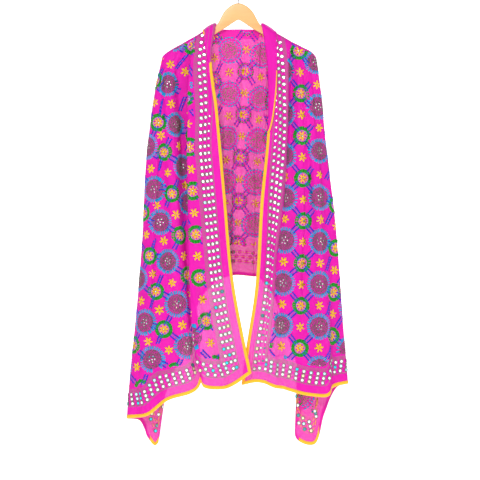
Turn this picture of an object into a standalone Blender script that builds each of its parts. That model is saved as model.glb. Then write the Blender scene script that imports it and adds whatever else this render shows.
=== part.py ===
"""A rectangular embroidered shawl hung cape-wise on a flat wooden hanger.

The front of the object faces -Y, +Z is up, and the origin is inside the top of the hook.
Every length in the tables is in millimetres; points are in metres.
"""
import math
from collections import namedtuple

import bpy
import numpy as np

MM = 0.001
CLOTH_THICKNESS = 1.5 * MM
BINDING_THICKNESS = 2.2 * MM
SEAM_GAP = 1.0 * MM
LAID_GAP = 2.0 * MM
HEM_GAP = 2.0 * MM
BINDING_WIDTH = 8.0 * MM
COLLAR_DROP = 38.0 * MM
LAPEL_BULGE = 2.0 * MM
LEFT_LAPEL_END = 0.11
RIGHT_LAPEL_END = 0.30
LEFT_LAPEL_WIDTH = 34.0 * MM
RIGHT_LAPEL_WIDTH = 42.0 * MM
SHOULDER_ROLL = 0.009
CROWN_OPENING = 2.0
STRETCH_ROWS = 15

HANGER_ROUNDING = 4.0 * MM
HOOK_WIRE_RADIUS = 2.0 * MM
HOOK_BEND_RADIUS = 24.0 * MM
HOOK_STEM_LENGTH = 17.0 * MM
HOOK_OPEN_ANGLE = math.radians(205)
HOOK_START_ANGLE = math.radians(-52)

# One row per fold line that runs down the cloth, in order round the body of the cape: from the
# viewer's left front edge, past the left side and the back, to the right front edge.
# over: 1 where the line starts on the crown of a hanger arm, 0 where it hangs behind the neck.
# top_x, top_y, top_z: where the line starts. hem_z: where it ends.
# x and y: the line's place at each share of its drop in STATIONS.
Fold = namedtuple("Fold", "name over top_x top_y top_z hem_z x y")
STATIONS = (0.08, 0.25, 0.50, 0.75, 0.90, 1.00)
FOLDS = (
    Fold("left_edge", 1, -62, -8, -131, -1095,
         (-74, -58, -36, -13, 14, 35), (-16, -24, -32, -38, -42, -43)),
    Fold("left_strip", 1, -89, -8, -147, -1136,
         (-98, -98, -87, -70, -51, -34), (-22, -33, -40, -44, -46, -47)),
    Fold("left_fold", 1, -120, -8, -167, -1131,
         (-133, -139, -138, -131, -119, -98), (-26, -40, -44, -46, -46, -45)),
    Fold("left_tuck", 1, -122, -8, -168, -1114,
         (-129, -131, -131, -124, -113, -100), (-12, -18, -22, -30, -34, -35)),
    Fold("left_valley", 1, -128, -8, -171, -1136,
         (-158, -157, -147, -136, -122, -111), (-8, -2, -12, -24, -30, -31)),
    Fold("left_crest", 1, -144, -8, -180, -1150,
         (-183, -180, -169, -155, -142, -131), (-18, -30, -37, -39, -39, -39)),
    Fold("left_dip", 1, -166, -8, -193, -1170,
         (-199, -208, -210, -210, -208, -194), (-14, -20, -24, -26, -29, -30)),
    Fold("left_outer", 1, -188, -8, -205, -1211,
         (-213, -224, -238, -252, -260, -249), (-14, -24, -31, -35, -37, -37)),
    Fold("left_side", 1, -210, 0, -222, -1222,
         (-228, -252, -265, -287, -301, -308), (0, -2, -2, 0, 2, 3)),
    Fold("left_turn", 1, -199, 8, -212, -1230,
         (-213, -235, -246, -265, -276, -274), (14, 20, 24, 26, 28, 28)),
    Fold("left_tail_rim", 1, -186, 8, -204, -1274,
         (-199, -216, -227, -241, -252, -253), (14, 22, 24, 24, 22, 20)),
    Fold("left_tail_tip", 1, -169, 8, -194, -1299,
         (-180, -194, -199, -208, -224, -231), (14, 24, 28, 30, 30, 28)),
    Fold("left_tail_fold", 1, -153, 8, -186, -1282,
         (-164, -172, -177, -186, -208, -221), (14, 24, 30, 34, 36, 36)),
    Fold("left_under", 1, -136, 8, -176, -1183,
         (-142, -144, -153, -172, -194, -210), (14, 22, 34, 44, 48, 48)),
    Fold("left_arch", 1, -114, 8, -163, -1038,
         (-117, -120, -131, -144, -155, -158), (14, 26, 38, 42, 42, 40)),
    Fold("left_rise", 1, -87, 8, -146, -889,
         (-89, -89, -92, -98, -100, -103), (14, 22, 28, 30, 32, 32)),
    Fold("left_neck", 1, -62, 8, -131, -834,
         (-59, -54, -48, -48, -48, -48), (14, 26, 36, 38, 36, 34)),
    Fold("left_nape", 0, -62, 13, -143, -832,
         (-50, -43, -36, -36, -36, -36), (15, 25, 33, 35, 34, 33)),
    Fold("back_crease", 0, 1, 13, -146, -826,
         (4, 4, -4, -7, -7, -7), (14, 20, 24, 26, 27, 27)),
    Fold("right_nape", 0, 63, 13, -143, -830,
         (52, 45, 40, 40, 40, 40), (15, 25, 33, 35, 34, 33)),
    Fold("right_neck", 1, 63, 8, -131, -831,
         (62, 56, 51, 51, 51, 51), (14, 26, 36, 38, 36, 34)),
    Fold("right_rise", 1, 92, 8, -150, -872,
         (89, 87, 87, 89, 92, 92), (14, 22, 28, 30, 32, 32)),
    Fold("right_arch", 1, 120, 8, -166, -1004,
         (117, 117, 122, 131, 136, 139), (14, 26, 38, 42, 42, 40)),
    Fold("right_under", 1, 144, 8, -180, -1164,
         (144, 147, 153, 166, 177, 180), (14, 22, 34, 44, 48, 48)),
    Fold("right_tail_fold", 1, 161, 8, -189, -1280,
         (164, 164, 164, 164, 164, 161), (14, 24, 30, 34, 36, 36)),
    Fold("right_tail_tip", 1, 175, 8, -196, -1296,
         (180, 188, 194, 202, 208, 210), (14, 24, 28, 30, 30, 28)),
    Fold("right_tail_rim", 1, 191, 8, -204, -1208,
         (199, 210, 221, 232, 238, 239), (14, 22, 24, 24, 22, 20)),
    Fold("right_turn", 1, 205, 8, -213, -1136,
         (213, 227, 249, 263, 271, 274), (14, 20, 24, 26, 28, 26)),
    Fold("right_side", 1, 214, 0, -224, -1126,
         (226, 241, 268, 283, 296, 303), (0, -2, -2, 0, 2, 3)),
    Fold("right_pleat", 1, 205, -8, -213, -1136,
         (212, 223, 245, 257, 258, 260), (-8, -12, -16, -18, -19, -19)),
    Fold("right_outer", 1, 194, -8, -205, -1158,
         (199, 209, 224, 239, 245, 246), (-13, -24, -34, -40, -42, -42)),
    Fold("right_dip", 1, 177, -8, -197, -1156,
         (180, 183, 186, 183, 180, 183), (-13, -20, -22, -23, -24, -24)),
    Fold("right_crest", 1, 164, -8, -190, -1146,
         (166, 166, 164, 147, 142, 147), (-18, -28, -33, -34, -34, -34)),
    Fold("right_valley", 1, 150, -8, -184, -1139,
         (147, 142, 131, 111, 114, 122), (-10, -16, -22, -24, -24, -24)),
    Fold("right_fold", 1, 139, -8, -177, -1135,
         (136, 131, 115, 89, 92, 100), (-26, -37, -42, -41, -39, -37)),
    Fold("right_strip", 1, 103, -8, -157, -1120,
         (106, 109, 92, 70, 59, 56), (-22, -32, -38, -37, -32, -30)),
    Fold("right_edge", 1, 63, -8, -131, -1128,
         (76, 82, 61, 45, 22, 9), (-16, -24, -31, -32, -25, -22)),
)

# The stretches of cloth between two fold lines, each a piece of its own.
Stretch = namedtuple("Stretch", "name first last columns")
STRETCHES = (
    Stretch("left_border_fall", "left_edge", "left_tuck", 7),
    Stretch("left_front_fall", "left_tuck", "left_side", 11),
    Stretch("left_side_fall", "left_side", "left_under", 10),
    Stretch("back_fall", "left_under", "right_under", 20),
    Stretch("right_side_fall", "right_under", "right_side", 10),
    Stretch("right_front_fall", "right_side", "right_valley", 11),
    Stretch("right_border_fall", "right_valley", "right_edge", 7),
)

# The wooden hanger's half outline: distance from the middle, top edge, underside and half depth.
HangerStation = namedtuple("HangerStation", "x top bottom half_depth")
HANGER_STATIONS = (
    HangerStation(0, -75.0, -121.0, 5.0),
    HangerStation(9, -76.5, -125.5, 5.0),
    HangerStation(18, -80.5, -131.0, 5.0),
    HangerStation(27, -86.5, -137.5, 5.0),
    HangerStation(35, -94.0, -142.5, 5.0),
    HangerStation(42, -103.0, -147.0, 5.0),
    HangerStation(48, -114.0, -150.5, 5.0),
    HangerStation(54, -125.5, -154.0, 5.0),
    HangerStation(59, -133.5, -157.0, 5.0),
    HangerStation(66, -139.0, -161.0, 5.0),
    HangerStation(92, -154.5, -176.0, 5.0),
    HangerStation(120, -172.0, -192.0, 5.0),
    HangerStation(150, -189.0, -209.0, 5.0),
    HangerStation(176, -203.0, -222.0, 5.0),
    HangerStation(186, -209.5, -227.0, 4.6),
    HangerStation(194, -216.5, -229.5, 3.8),
    HangerStation(199, -221.5, -228.5, 2.4),
)

NAMES = [fold.name for fold in FOLDS]
# Seams that lie half way to the next fold line rather than on the line itself.
SEAM_SHIFT = {"left_under": 0.5, "right_under": -0.5}
MAGENTA = (0.80, 0.02, 0.42)
YELLOW = (0.95, 0.55, 0.01)
WOOD = (0.86, 0.52, 0.22)
STEEL = (0.62, 0.63, 0.65)


def clear_scene():
    """Remove every object the new scene starts with."""
    for obj in list(bpy.data.objects):
        bpy.data.objects.remove(obj)


def material(name, colour, roughness, metallic=0.0):
    """Return a new Principled material."""
    made = bpy.data.materials.new(name)
    made.use_nodes = True
    shader = made.node_tree.nodes["Principled BSDF"]
    shader.inputs["Base Color"].default_value = (*colour, 1.0)
    shader.inputs["Roughness"].default_value = roughness
    shader.inputs["Metallic"].default_value = metallic
    return made


def hermite(knots, values, at):
    """Smooth curve through values at knots, without overshoot beyond a gentle bend.

    knots has shape (rows, n) and values (rows, n, k); at has shape (rows, m).
    """
    step = np.diff(knots, axis=1)
    slope = np.diff(values, axis=1) / step[..., None]
    before = step[:, :-1, None]
    after = step[:, 1:, None]
    inner = (slope[:, :-1] * after + slope[:, 1:] * before) / (before + after)
    tangent = np.concatenate([slope[:, :1], inner, slope[:, -1:]], axis=1)
    rows = np.arange(len(knots))[:, None]
    index = (knots[:, None, 1:-1] <= at[..., None]).sum(axis=2)
    h = step[rows, index][..., None]
    s = (at[..., None] - knots[rows, index][..., None]) / h
    start = values[rows, index]
    end = values[rows, index + 1]
    return (
        (2 * s**3 - 3 * s**2 + 1) * start
        + (s**3 - 2 * s**2 + s) * h * tangent[rows, index]
        + (3 * s**2 - 2 * s**3) * end
        + (s**3 - s**2) * h * tangent[rows, index + 1]
    )


def fold_lines(t):
    """Points of every fold line at the shares t of its drop, as (len(t), folds, 3) in metres."""
    knots = np.array([(0.0, *STATIONS)])
    columns = []
    for fold in FOLDS:
        plan = np.array([(fold.top_x, fold.top_y), *zip(fold.x, fold.y)], float)
        place = hermite(knots, plan[None], t[None])[0]
        rolled = np.clip(t / SHOULDER_ROLL, 0, 1)
        roll = np.sqrt(1 - (1 - rolled) ** 2) if fold.over else np.ones_like(t)
        z = fold.top_z + (fold.hem_z - fold.top_z) * t
        columns.append(np.stack([place[:, 0], place[:, 1] * roll, z], axis=1))
    return np.stack(columns, axis=1) * MM


def cloth_points(c, t):
    """Middle surface of the cloth, for arrays c and t of one shape.

    c is a fold line's number with a fraction for the way to the next one, and t the share of the
    drop. Points of one t lie on a smooth curve across the fold lines.
    """
    lines = fold_lines(t.ravel())
    length = np.linalg.norm(np.diff(lines, axis=1), axis=2) ** 0.5
    knots = np.concatenate([np.zeros((t.size, 1)), np.cumsum(length, axis=1)], axis=1)
    flat = c.ravel()
    rows = np.arange(t.size)
    low = np.clip(np.floor(flat).astype(int), 0, len(FOLDS) - 2)
    at = knots[rows, low] + (flat - low) * (knots[rows, low + 1] - knots[rows, low])
    return hermite(knots, lines, at[:, None])[:, 0].reshape(*c.shape, 3)


def cloth_normals(c, t):
    """Unit outward normals of the cloth's middle surface, the same on both sides of a seam."""
    last = len(FOLDS) - 1
    reach = np.where(t < 2 * SHOULDER_ROLL, 0.04 * SHOULDER_ROLL, 0.01)
    before = np.clip(c - 0.12, 0, last)
    after = np.clip(c + 0.12, 0, last)
    above = np.clip(t - reach, 0, 1)
    below = np.clip(t + reach, 0, 1)
    across = cloth_points(after, t) - cloth_points(before, t)
    down = cloth_points(c, below) - cloth_points(c, above)
    normal = np.cross(across, down)
    return normal / np.linalg.norm(normal, axis=2, keepdims=True)


def add_object(name, points, faces, finish):
    """Make a smooth-shaded mesh object."""
    mesh = bpy.data.meshes.new(name)
    mesh.from_pydata(points.tolist(), [], faces)
    mesh.materials.append(finish)
    mesh.shade_smooth()
    mesh.validate()
    made = bpy.data.objects.new(name, mesh)
    bpy.context.scene.collection.objects.link(made)
    return made


def add_wall(name, c, t, thickness, finish, lift=0.0):
    """Close a patch of the cloth into a wall of even thickness, moved out by lift."""
    rows, columns = c.shape
    middle = cloth_points(c, t)
    out = cloth_normals(c, t)
    outer = middle + out * (lift + thickness / 2)
    inner = middle + out * (lift - thickness / 2)
    count = rows * columns
    faces = []
    for row in range(rows - 1):
        for column in range(columns - 1):
            a = row * columns + column
            b = a + 1
            c = b + columns
            d = a + columns
            faces.append((a, b, c, d))
            faces.append((d + count, c + count, b + count, a + count))
    top = [column for column in range(columns)]
    right = [row * columns + columns - 1 for row in range(1, rows)]
    bottom = [(rows - 1) * columns + column for column in range(columns - 2, -1, -1)]
    left = [row * columns for row in range(rows - 2, 0, -1)]
    rim = top + right + bottom + left
    for here, there in zip(rim, rim[1:] + rim[:1]):
        faces.append((there, here, here + count, there + count))
    points = np.concatenate([outer.reshape(-1, 3), inner.reshape(-1, 3)])
    return add_object(name, points, faces, finish)


def row_shares(start, end, count):
    """Shares of the drop, closer together where the cloth rolls over the arm."""
    if start >= SHOULDER_ROLL:
        return np.linspace(start, end, count)
    rolled = np.array([0.006, 0.12, 0.35, 0.68, 1.0]) * SHOULDER_ROLL
    return np.concatenate([rolled, np.linspace(SHOULDER_ROLL, end, count)[1:]])


def share_of_edge(t, edge, inward, width):
    """How much of the interval beside a fold line a width along the cloth takes, per row."""
    step = 0.01 if np.max(width) < 2 * MM else 0.1
    at_edge = np.full_like(t, edge)
    beside = at_edge + step * (inward - edge)
    speed = np.linalg.norm(cloth_points(beside, t) - cloth_points(at_edge, t), axis=1) / step
    return width / speed


def drop_share(c, width):
    """What share of the drop a width measured up from the hem takes at fold number c."""
    drops = [(fold.top_z - fold.hem_z) * MM for fold in FOLDS]
    return width / np.interp(c, range(len(FOLDS)), drops)


def patch(t, start, end, columns):
    """Fold numbers between start and end in every row, and the rows' shares of the drop."""
    across = np.linspace(0, 1, columns + 1)
    c = start[:, None] + (end - start)[:, None] * across
    return c, np.repeat(t[:, None], columns + 1, axis=1)


def seam(name):
    """Fold number of the seam at a named fold line."""
    return NAMES.index(name) + SEAM_SHIFT.get(name, 0)


def is_hem(c):
    """Whether fold numbers lie on a hem or a tail rather than on the far edge."""
    return (c <= NAMES.index("left_tail_fold")) | (c >= NAMES.index("right_tail_fold"))


def stretch_patch(stretch, t):
    """Fold numbers and shares of the drop of one stretch, clear of the seams and bindings."""
    last = len(FOLDS) - 1
    edge_room = BINDING_WIDTH + SEAM_GAP
    first = seam(stretch.first)
    final = seam(stretch.last)
    half_gap = SEAM_GAP / 2 * (1 + CROWN_OPENING * np.exp(-t / SHOULDER_ROLL))
    start = first + share_of_edge(t, first, first + 1, half_gap)
    end = final - share_of_edge(t, final, final - 1, half_gap)
    if first == 0:
        start = np.where(t > LEFT_LAPEL_END, share_of_edge(t, 0, 1, edge_room), 0)
    if final == last:
        taken = share_of_edge(t, last, last - 1, edge_room)
        end = last - np.where(t > RIGHT_LAPEL_END, taken, 0)
    c, down = patch(t, start, end, stretch.columns)
    room = drop_share(c[-1], BINDING_WIDTH + HEM_GAP)
    down[-1] -= np.where(is_hem(c[-1]), room, 0)
    return c, down


def add_stretches(finish):
    """Build every stretch of the cloth."""
    t = row_shares(0.0, 1.0, STRETCH_ROWS)
    for stretch in STRETCHES:
        add_wall(stretch.name, *stretch_patch(stretch, t), CLOTH_THICKNESS, finish)


def add_edge_bindings(finish):
    """Bind the two front edges, from the end of each lapel down to the hem."""
    last = len(FOLDS) - 1
    shares = row_shares(0.0, 1.0, STRETCH_ROWS)
    for name, edge, inward, top in (
        ("left_edge_binding", 0, 1, LEFT_LAPEL_END),
        ("right_edge_binding", last, last - 1, RIGHT_LAPEL_END),
    ):
        t = shares[shares > top]
        taken = share_of_edge(t, edge, inward, BINDING_WIDTH)
        start = np.zeros_like(t) if edge == 0 else last - taken
        end = taken if edge == 0 else np.full_like(t, last)
        add_wall(name, *patch(t, start, end, 2), BINDING_THICKNESS, finish)


def add_hem_bindings(finish):
    """Bind both hems with their tails, and lay the far edge's binding on the outside."""
    along = [stretch_patch(stretch, np.ones(1))[0][0] for stretch in STRETCHES]
    along = np.concatenate(along)
    middle = len(FOLDS) / 2
    far_start = NAMES.index("left_under")
    far_end = NAMES.index("right_under")
    laid_on = (CLOTH_THICKNESS + BINDING_THICKNESS) / 2 + LAID_GAP
    for name, part, lift in (
        ("left_hem_binding", is_hem(along) & (along < middle), 0.0),
        ("far_edge_binding", (along > far_start) & (along < far_end), laid_on),
        ("right_hem_binding", is_hem(along) & (along > middle), 0.0),
    ):
        c = np.tile(along[part], (3, 1))
        up = np.array([[1.0], [0.5], [0.0]])
        t = 1 - up * drop_share(c, BINDING_WIDTH)
        add_wall(name, c, t, BINDING_THICKNESS, finish, lift)


def add_lapels(finish):
    """Turn the front edges outwards beside the neck, each lapel lying on its front."""
    last = len(FOLDS) - 1
    for name, edge, inward, bottom, width in (
        ("left_lapel", 0, 1, LEFT_LAPEL_END, LEFT_LAPEL_WIDTH),
        ("right_lapel", last, last - 1, RIGHT_LAPEL_END, RIGHT_LAPEL_WIDTH),
    ):
        t = row_shares(0.0, bottom, 9)
        taper = (1 - t / bottom) ** 0.75
        taken = share_of_edge(t, edge, inward, 1.5 * MM + width * taper)
        start = np.zeros_like(t) if edge == 0 else last - taken
        end = taken if edge == 0 else np.full_like(t, last)
        c, down = patch(t, start, end, 4)
        across = np.linspace(0, 1, 5)
        bulge = np.sin(math.pi * across) * LAPEL_BULGE * taper[:, None]
        lift = CLOTH_THICKNESS + LAID_GAP + bulge[..., None]
        add_wall(name, c, down, CLOTH_THICKNESS, finish, lift)


def add_collar(finish):
    """Turn the back neck edge outwards, so that it hangs on the back as a collar."""
    first = NAMES.index("left_nape")
    final = NAMES.index("right_nape")
    drop = drop_share(NAMES.index("back_crease"), COLLAR_DROP)
    t = row_shares(0.0, drop, 4)
    c, down = patch(t, np.full_like(t, first), np.full_like(t, final), 20)
    bulge = np.sin(math.pi * t / drop) * LAPEL_BULGE
    lift = CLOTH_THICKNESS + LAID_GAP + bulge[:, None, None]
    add_wall("neck_collar", c, down, CLOTH_THICKNESS, finish, lift)


def ring(y_half, low, high, rounding, sides=3):
    """A rounded rectangle in the YZ plane, anticlockwise seen from +X."""
    points = []
    for corner_y, corner_z, turn in ((1, 0, 3), (1, 1, 0), (-1, 1, 1), (-1, 0, 2)):
        centre_y = corner_y * (y_half - rounding)
        centre_z = high - rounding if corner_z else low + rounding
        for step in range(sides + 1):
            angle = math.pi / 2 * (turn + step / sides)
            y = centre_y + rounding * math.cos(angle)
            z = centre_z + rounding * math.sin(angle)
            points.append((y, z))
    return points


def loft(name, rings, finish):
    """Join rings of equal length into one closed body with flat ends."""
    size = len(rings[0])
    points = np.array([point for one in rings for point in one])
    faces = []
    for here in range(len(rings) - 1):
        for k in range(size):
            a = here * size + k
            b = here * size + (k + 1) % size
            faces.append((a, b, b + size, a + size))
    faces.append(tuple(range(size - 1, -1, -1)))
    end = (len(rings) - 1) * size
    faces.append(tuple(range(end, end + size)))
    return add_object(name, points, faces, finish)


def add_hanger(finish):
    """The flat wooden hanger: a low dome with two sloping arms."""
    sides = [(-1, station) for station in reversed(HANGER_STATIONS[1:])]
    sides += [(1, station) for station in HANGER_STATIONS]
    rings = []
    for side, station in sides:
        half = station.half_depth * MM
        rounding = min(HANGER_ROUNDING, 0.8 * half, (station.top - station.bottom) * MM * 0.45)
        section = ring(half, station.bottom * MM, station.top * MM, rounding)
        rings.append([(side * station.x * MM, y, z) for y, z in section])
    loft("hanger_body", rings, finish)


def hook_path():
    """Centre line of the hook wire, from the hanger's dome to the open end."""
    radius = HOOK_BEND_RADIUS
    centre_z = HOOK_WIRE_RADIUS - radius
    foot = HANGER_STATIONS[0].top * MM + SEAM_GAP
    stem_top = foot + HOOK_STEM_LENGTH
    arc_x = radius * math.cos(HOOK_START_ANGLE)
    arc_z = centre_z + radius * math.sin(HOOK_START_ANGLE)
    heading = (-math.sin(HOOK_START_ANGLE), math.cos(HOOK_START_ANGLE))
    pull = 0.9 * math.hypot(arc_x, arc_z - stem_top)
    path = [(0.0, foot), (0.0, (foot + stem_top) / 2)]
    for s in np.linspace(0, 1, 8)[:-1]:
        b0 = 2 * s**3 - 3 * s**2 + 1
        b1 = s**3 - 2 * s**2 + s
        b2 = 3 * s**2 - 2 * s**3
        b3 = s**3 - s**2
        x = b2 * arc_x + b3 * pull * heading[0]
        z = b0 * stem_top + b1 * pull + b2 * arc_z + b3 * pull * heading[1]
        path.append((x, z))
    for angle in np.linspace(HOOK_START_ANGLE, HOOK_OPEN_ANGLE, 26):
        path.append((radius * math.cos(angle), centre_z + radius * math.sin(angle)))
    return np.array(path)


def add_hook(finish):
    """The bent wire hook, in the plane of the hanger."""
    path = hook_path()
    tangent = np.gradient(path, axis=0)
    tangent /= np.linalg.norm(tangent, axis=1, keepdims=True)
    rings = []
    for (x, z), (along_x, along_z) in zip(path, tangent):
        one = []
        for k in range(12):
            angle = 2 * math.pi * k / 12
            out = HOOK_WIRE_RADIUS * math.cos(angle)
            y = HOOK_WIRE_RADIUS * math.sin(angle)
            one.append((x + out * along_z, y, z - out * along_x))
        rings.append(one)
    loft("hanger_hook", rings, finish)


def main():
    """Build the hanger and the shawl that hangs on it."""
    clear_scene()
    cloth = material("cloth", MAGENTA, 0.75)
    binding = material("binding", YELLOW, 0.6)
    add_hanger(material("hanger_wood", WOOD, 0.45))
    add_hook(material("hook_steel", STEEL, 0.25, 1.0))
    add_stretches(cloth)
    add_lapels(cloth)
    add_collar(cloth)
    add_edge_bindings(binding)
    add_hem_bindings(binding)


main()
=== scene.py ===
"""Looks of a phulkari shawl hung cape-wise on a flat wooden hanger.

The real cloth is one rectangle of magenta crepe georgette. Here it is a fan that is shorter along
its top edge than along its hem. It falls from the hanger's arms as two fronts, two side falls and a
high back, and carries thread embroidery, foil mirrors and a yellow binding. The front faces -Y, +Z
is up and the origin is inside the top of the hook. Lengths are in metres unless a table says
millimetres.
"""

import logging
import math
from dataclasses import dataclass
from enum import Enum

import bpy
import numpy as np
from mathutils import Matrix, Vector


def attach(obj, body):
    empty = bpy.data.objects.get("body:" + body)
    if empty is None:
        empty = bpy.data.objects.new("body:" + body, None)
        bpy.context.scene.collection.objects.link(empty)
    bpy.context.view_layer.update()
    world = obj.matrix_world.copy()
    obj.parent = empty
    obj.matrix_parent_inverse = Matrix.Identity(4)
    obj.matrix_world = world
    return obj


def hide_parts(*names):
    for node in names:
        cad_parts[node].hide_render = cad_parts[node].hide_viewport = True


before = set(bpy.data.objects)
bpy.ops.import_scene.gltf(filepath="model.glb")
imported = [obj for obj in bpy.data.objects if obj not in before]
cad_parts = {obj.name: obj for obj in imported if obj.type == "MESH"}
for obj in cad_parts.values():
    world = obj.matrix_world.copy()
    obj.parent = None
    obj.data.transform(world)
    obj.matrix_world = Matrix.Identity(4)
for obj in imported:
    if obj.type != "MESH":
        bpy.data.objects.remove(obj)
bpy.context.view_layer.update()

log = logging.getLogger("shawl")
MM = 0.001
Array = np.ndarray


# ---------------------------------------------------------------- sizes and fold tables

STATIONS = (0.08, 0.25, 0.50, 0.75, 0.90, 1.00)
SHOULDER_ROLL = 0.009


@dataclass(frozen=True)
class Fold:
    """One fold line that runs down the cloth, in millimetres.

    over: 1 where the line starts on the crown of a hanger arm, 0 where it hangs behind the neck.
    x and y give the line's place at each share of its drop in STATIONS.
    """

    name: str
    over: int
    top_x: float
    top_y: float
    top_z: float
    hem_z: float
    x: tuple[float, ...]
    y: tuple[float, ...]


FOLDS: tuple[Fold, ...] = (
    Fold("left_edge", 1, -62, -8, -131, -1095,
         (-74, -58, -36, -13, 14, 35), (-16, -24, -32, -38, -42, -43)),
    Fold("left_strip", 1, -89, -8, -147, -1136,
         (-98, -98, -87, -70, -51, -34), (-22, -33, -40, -44, -46, -47)),
    Fold("left_fold", 1, -120, -8, -167, -1131,
         (-133, -139, -138, -131, -119, -98), (-26, -40, -44, -46, -46, -45)),
    Fold("left_tuck", 1, -122, -8, -168, -1114,
         (-129, -131, -131, -124, -113, -100), (-12, -18, -22, -30, -34, -35)),
    Fold("left_valley", 1, -128, -8, -171, -1136,
         (-158, -157, -147, -136, -122, -111), (-8, -2, -12, -24, -30, -31)),
    Fold("left_crest", 1, -144, -8, -180, -1150,
         (-183, -180, -169, -155, -142, -131), (-18, -30, -37, -39, -39, -39)),
    Fold("left_dip", 1, -166, -8, -193, -1170,
         (-199, -208, -210, -210, -208, -194), (-14, -20, -24, -26, -29, -30)),
    Fold("left_outer", 1, -188, -8, -205, -1211,
         (-213, -224, -238, -252, -260, -249), (-14, -24, -31, -35, -37, -37)),
    Fold("left_side", 1, -210, 0, -222, -1222,
         (-228, -252, -265, -287, -301, -308), (0, -2, -2, 0, 2, 3)),
    Fold("left_turn", 1, -199, 8, -212, -1230,
         (-213, -235, -246, -265, -276, -274), (14, 20, 24, 26, 28, 28)),
    Fold("left_tail_rim", 1, -186, 8, -204, -1274,
         (-199, -216, -227, -241, -252, -253), (14, 22, 24, 24, 22, 20)),
    Fold("left_tail_tip", 1, -169, 8, -194, -1299,
         (-180, -194, -199, -208, -224, -231), (14, 24, 28, 30, 30, 28)),
    Fold("left_tail_fold", 1, -153, 8, -186, -1282,
         (-164, -172, -177, -186, -208, -221), (14, 24, 30, 34, 36, 36)),
    Fold("left_under", 1, -136, 8, -176, -1183,
         (-142, -144, -153, -172, -194, -210), (14, 22, 34, 44, 48, 48)),
    Fold("left_arch", 1, -114, 8, -163, -1038,
         (-117, -120, -131, -144, -155, -158), (14, 26, 38, 42, 42, 40)),
    Fold("left_rise", 1, -87, 8, -146, -889,
         (-89, -89, -92, -98, -100, -103), (14, 22, 28, 30, 32, 32)),
    Fold("left_neck", 1, -62, 8, -131, -834,
         (-59, -54, -48, -48, -48, -48), (14, 26, 36, 38, 36, 34)),
    Fold("left_nape", 0, -62, 13, -143, -832,
         (-50, -43, -36, -36, -36, -36), (15, 25, 33, 35, 34, 33)),
    Fold("back_crease", 0, 1, 13, -146, -826,
         (4, 4, -4, -7, -7, -7), (14, 20, 24, 26, 27, 27)),
    Fold("right_nape", 0, 63, 13, -143, -830,
         (52, 45, 40, 40, 40, 40), (15, 25, 33, 35, 34, 33)),
    Fold("right_neck", 1, 63, 8, -131, -831,
         (62, 56, 51, 51, 51, 51), (14, 26, 36, 38, 36, 34)),
    Fold("right_rise", 1, 92, 8, -150, -872,
         (89, 87, 87, 89, 92, 92), (14, 22, 28, 30, 32, 32)),
    Fold("right_arch", 1, 120, 8, -166, -1004,
         (117, 117, 122, 131, 136, 139), (14, 26, 38, 42, 42, 40)),
    Fold("right_under", 1, 144, 8, -180, -1164,
         (144, 147, 153, 166, 177, 180), (14, 22, 34, 44, 48, 48)),
    Fold("right_tail_fold", 1, 161, 8, -189, -1280,
         (164, 164, 164, 164, 164, 161), (14, 24, 30, 34, 36, 36)),
    Fold("right_tail_tip", 1, 175, 8, -196, -1296,
         (180, 188, 194, 202, 208, 210), (14, 24, 28, 30, 30, 28)),
    Fold("right_tail_rim", 1, 191, 8, -204, -1208,
         (199, 210, 221, 232, 238, 239), (14, 22, 24, 24, 22, 20)),
    Fold("right_turn", 1, 205, 8, -213, -1136,
         (213, 227, 249, 263, 271, 274), (14, 20, 24, 26, 28, 26)),
    Fold("right_side", 1, 214, 0, -224, -1126,
         (226, 241, 268, 283, 296, 303), (0, -2, -2, 0, 2, 3)),
    Fold("right_pleat", 1, 205, -8, -213, -1136,
         (212, 223, 245, 257, 258, 260), (-8, -12, -16, -18, -19, -19)),
    Fold("right_outer", 1, 194, -8, -205, -1158,
         (199, 209, 224, 239, 245, 246), (-13, -24, -34, -40, -42, -42)),
    Fold("right_dip", 1, 177, -8, -197, -1156,
         (180, 183, 186, 183, 180, 183), (-13, -20, -22, -23, -24, -24)),
    Fold("right_crest", 1, 164, -8, -190, -1146,
         (166, 166, 164, 147, 142, 147), (-18, -28, -33, -34, -34, -34)),
    Fold("right_valley", 1, 150, -8, -184, -1139,
         (147, 142, 131, 111, 114, 122), (-10, -16, -22, -24, -24, -24)),
    Fold("right_fold", 1, 139, -8, -177, -1135,
         (136, 131, 115, 89, 92, 100), (-26, -37, -42, -41, -39, -37)),
    Fold("right_strip", 1, 103, -8, -157, -1120,
         (106, 109, 92, 70, 59, 56), (-22, -32, -38, -37, -32, -30)),
    Fold("right_edge", 1, 63, -8, -131, -1128,
         (76, 82, 61, 45, 22, 9), (-16, -24, -31, -32, -25, -22)),
)
LAST_FOLD = len(FOLDS) - 1


@dataclass(frozen=True)
class Crease:
    """One crease: a soft ridge (positive depth) or trough (negative), in millimetres.

    It runs from fold number c_top at share t_top of the drop to c_bottom at t_bottom; width is
    in fold numbers.
    """

    name: str
    c_top: float
    t_top: float
    c_bottom: float
    t_bottom: float
    depth: float
    width: float


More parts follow.
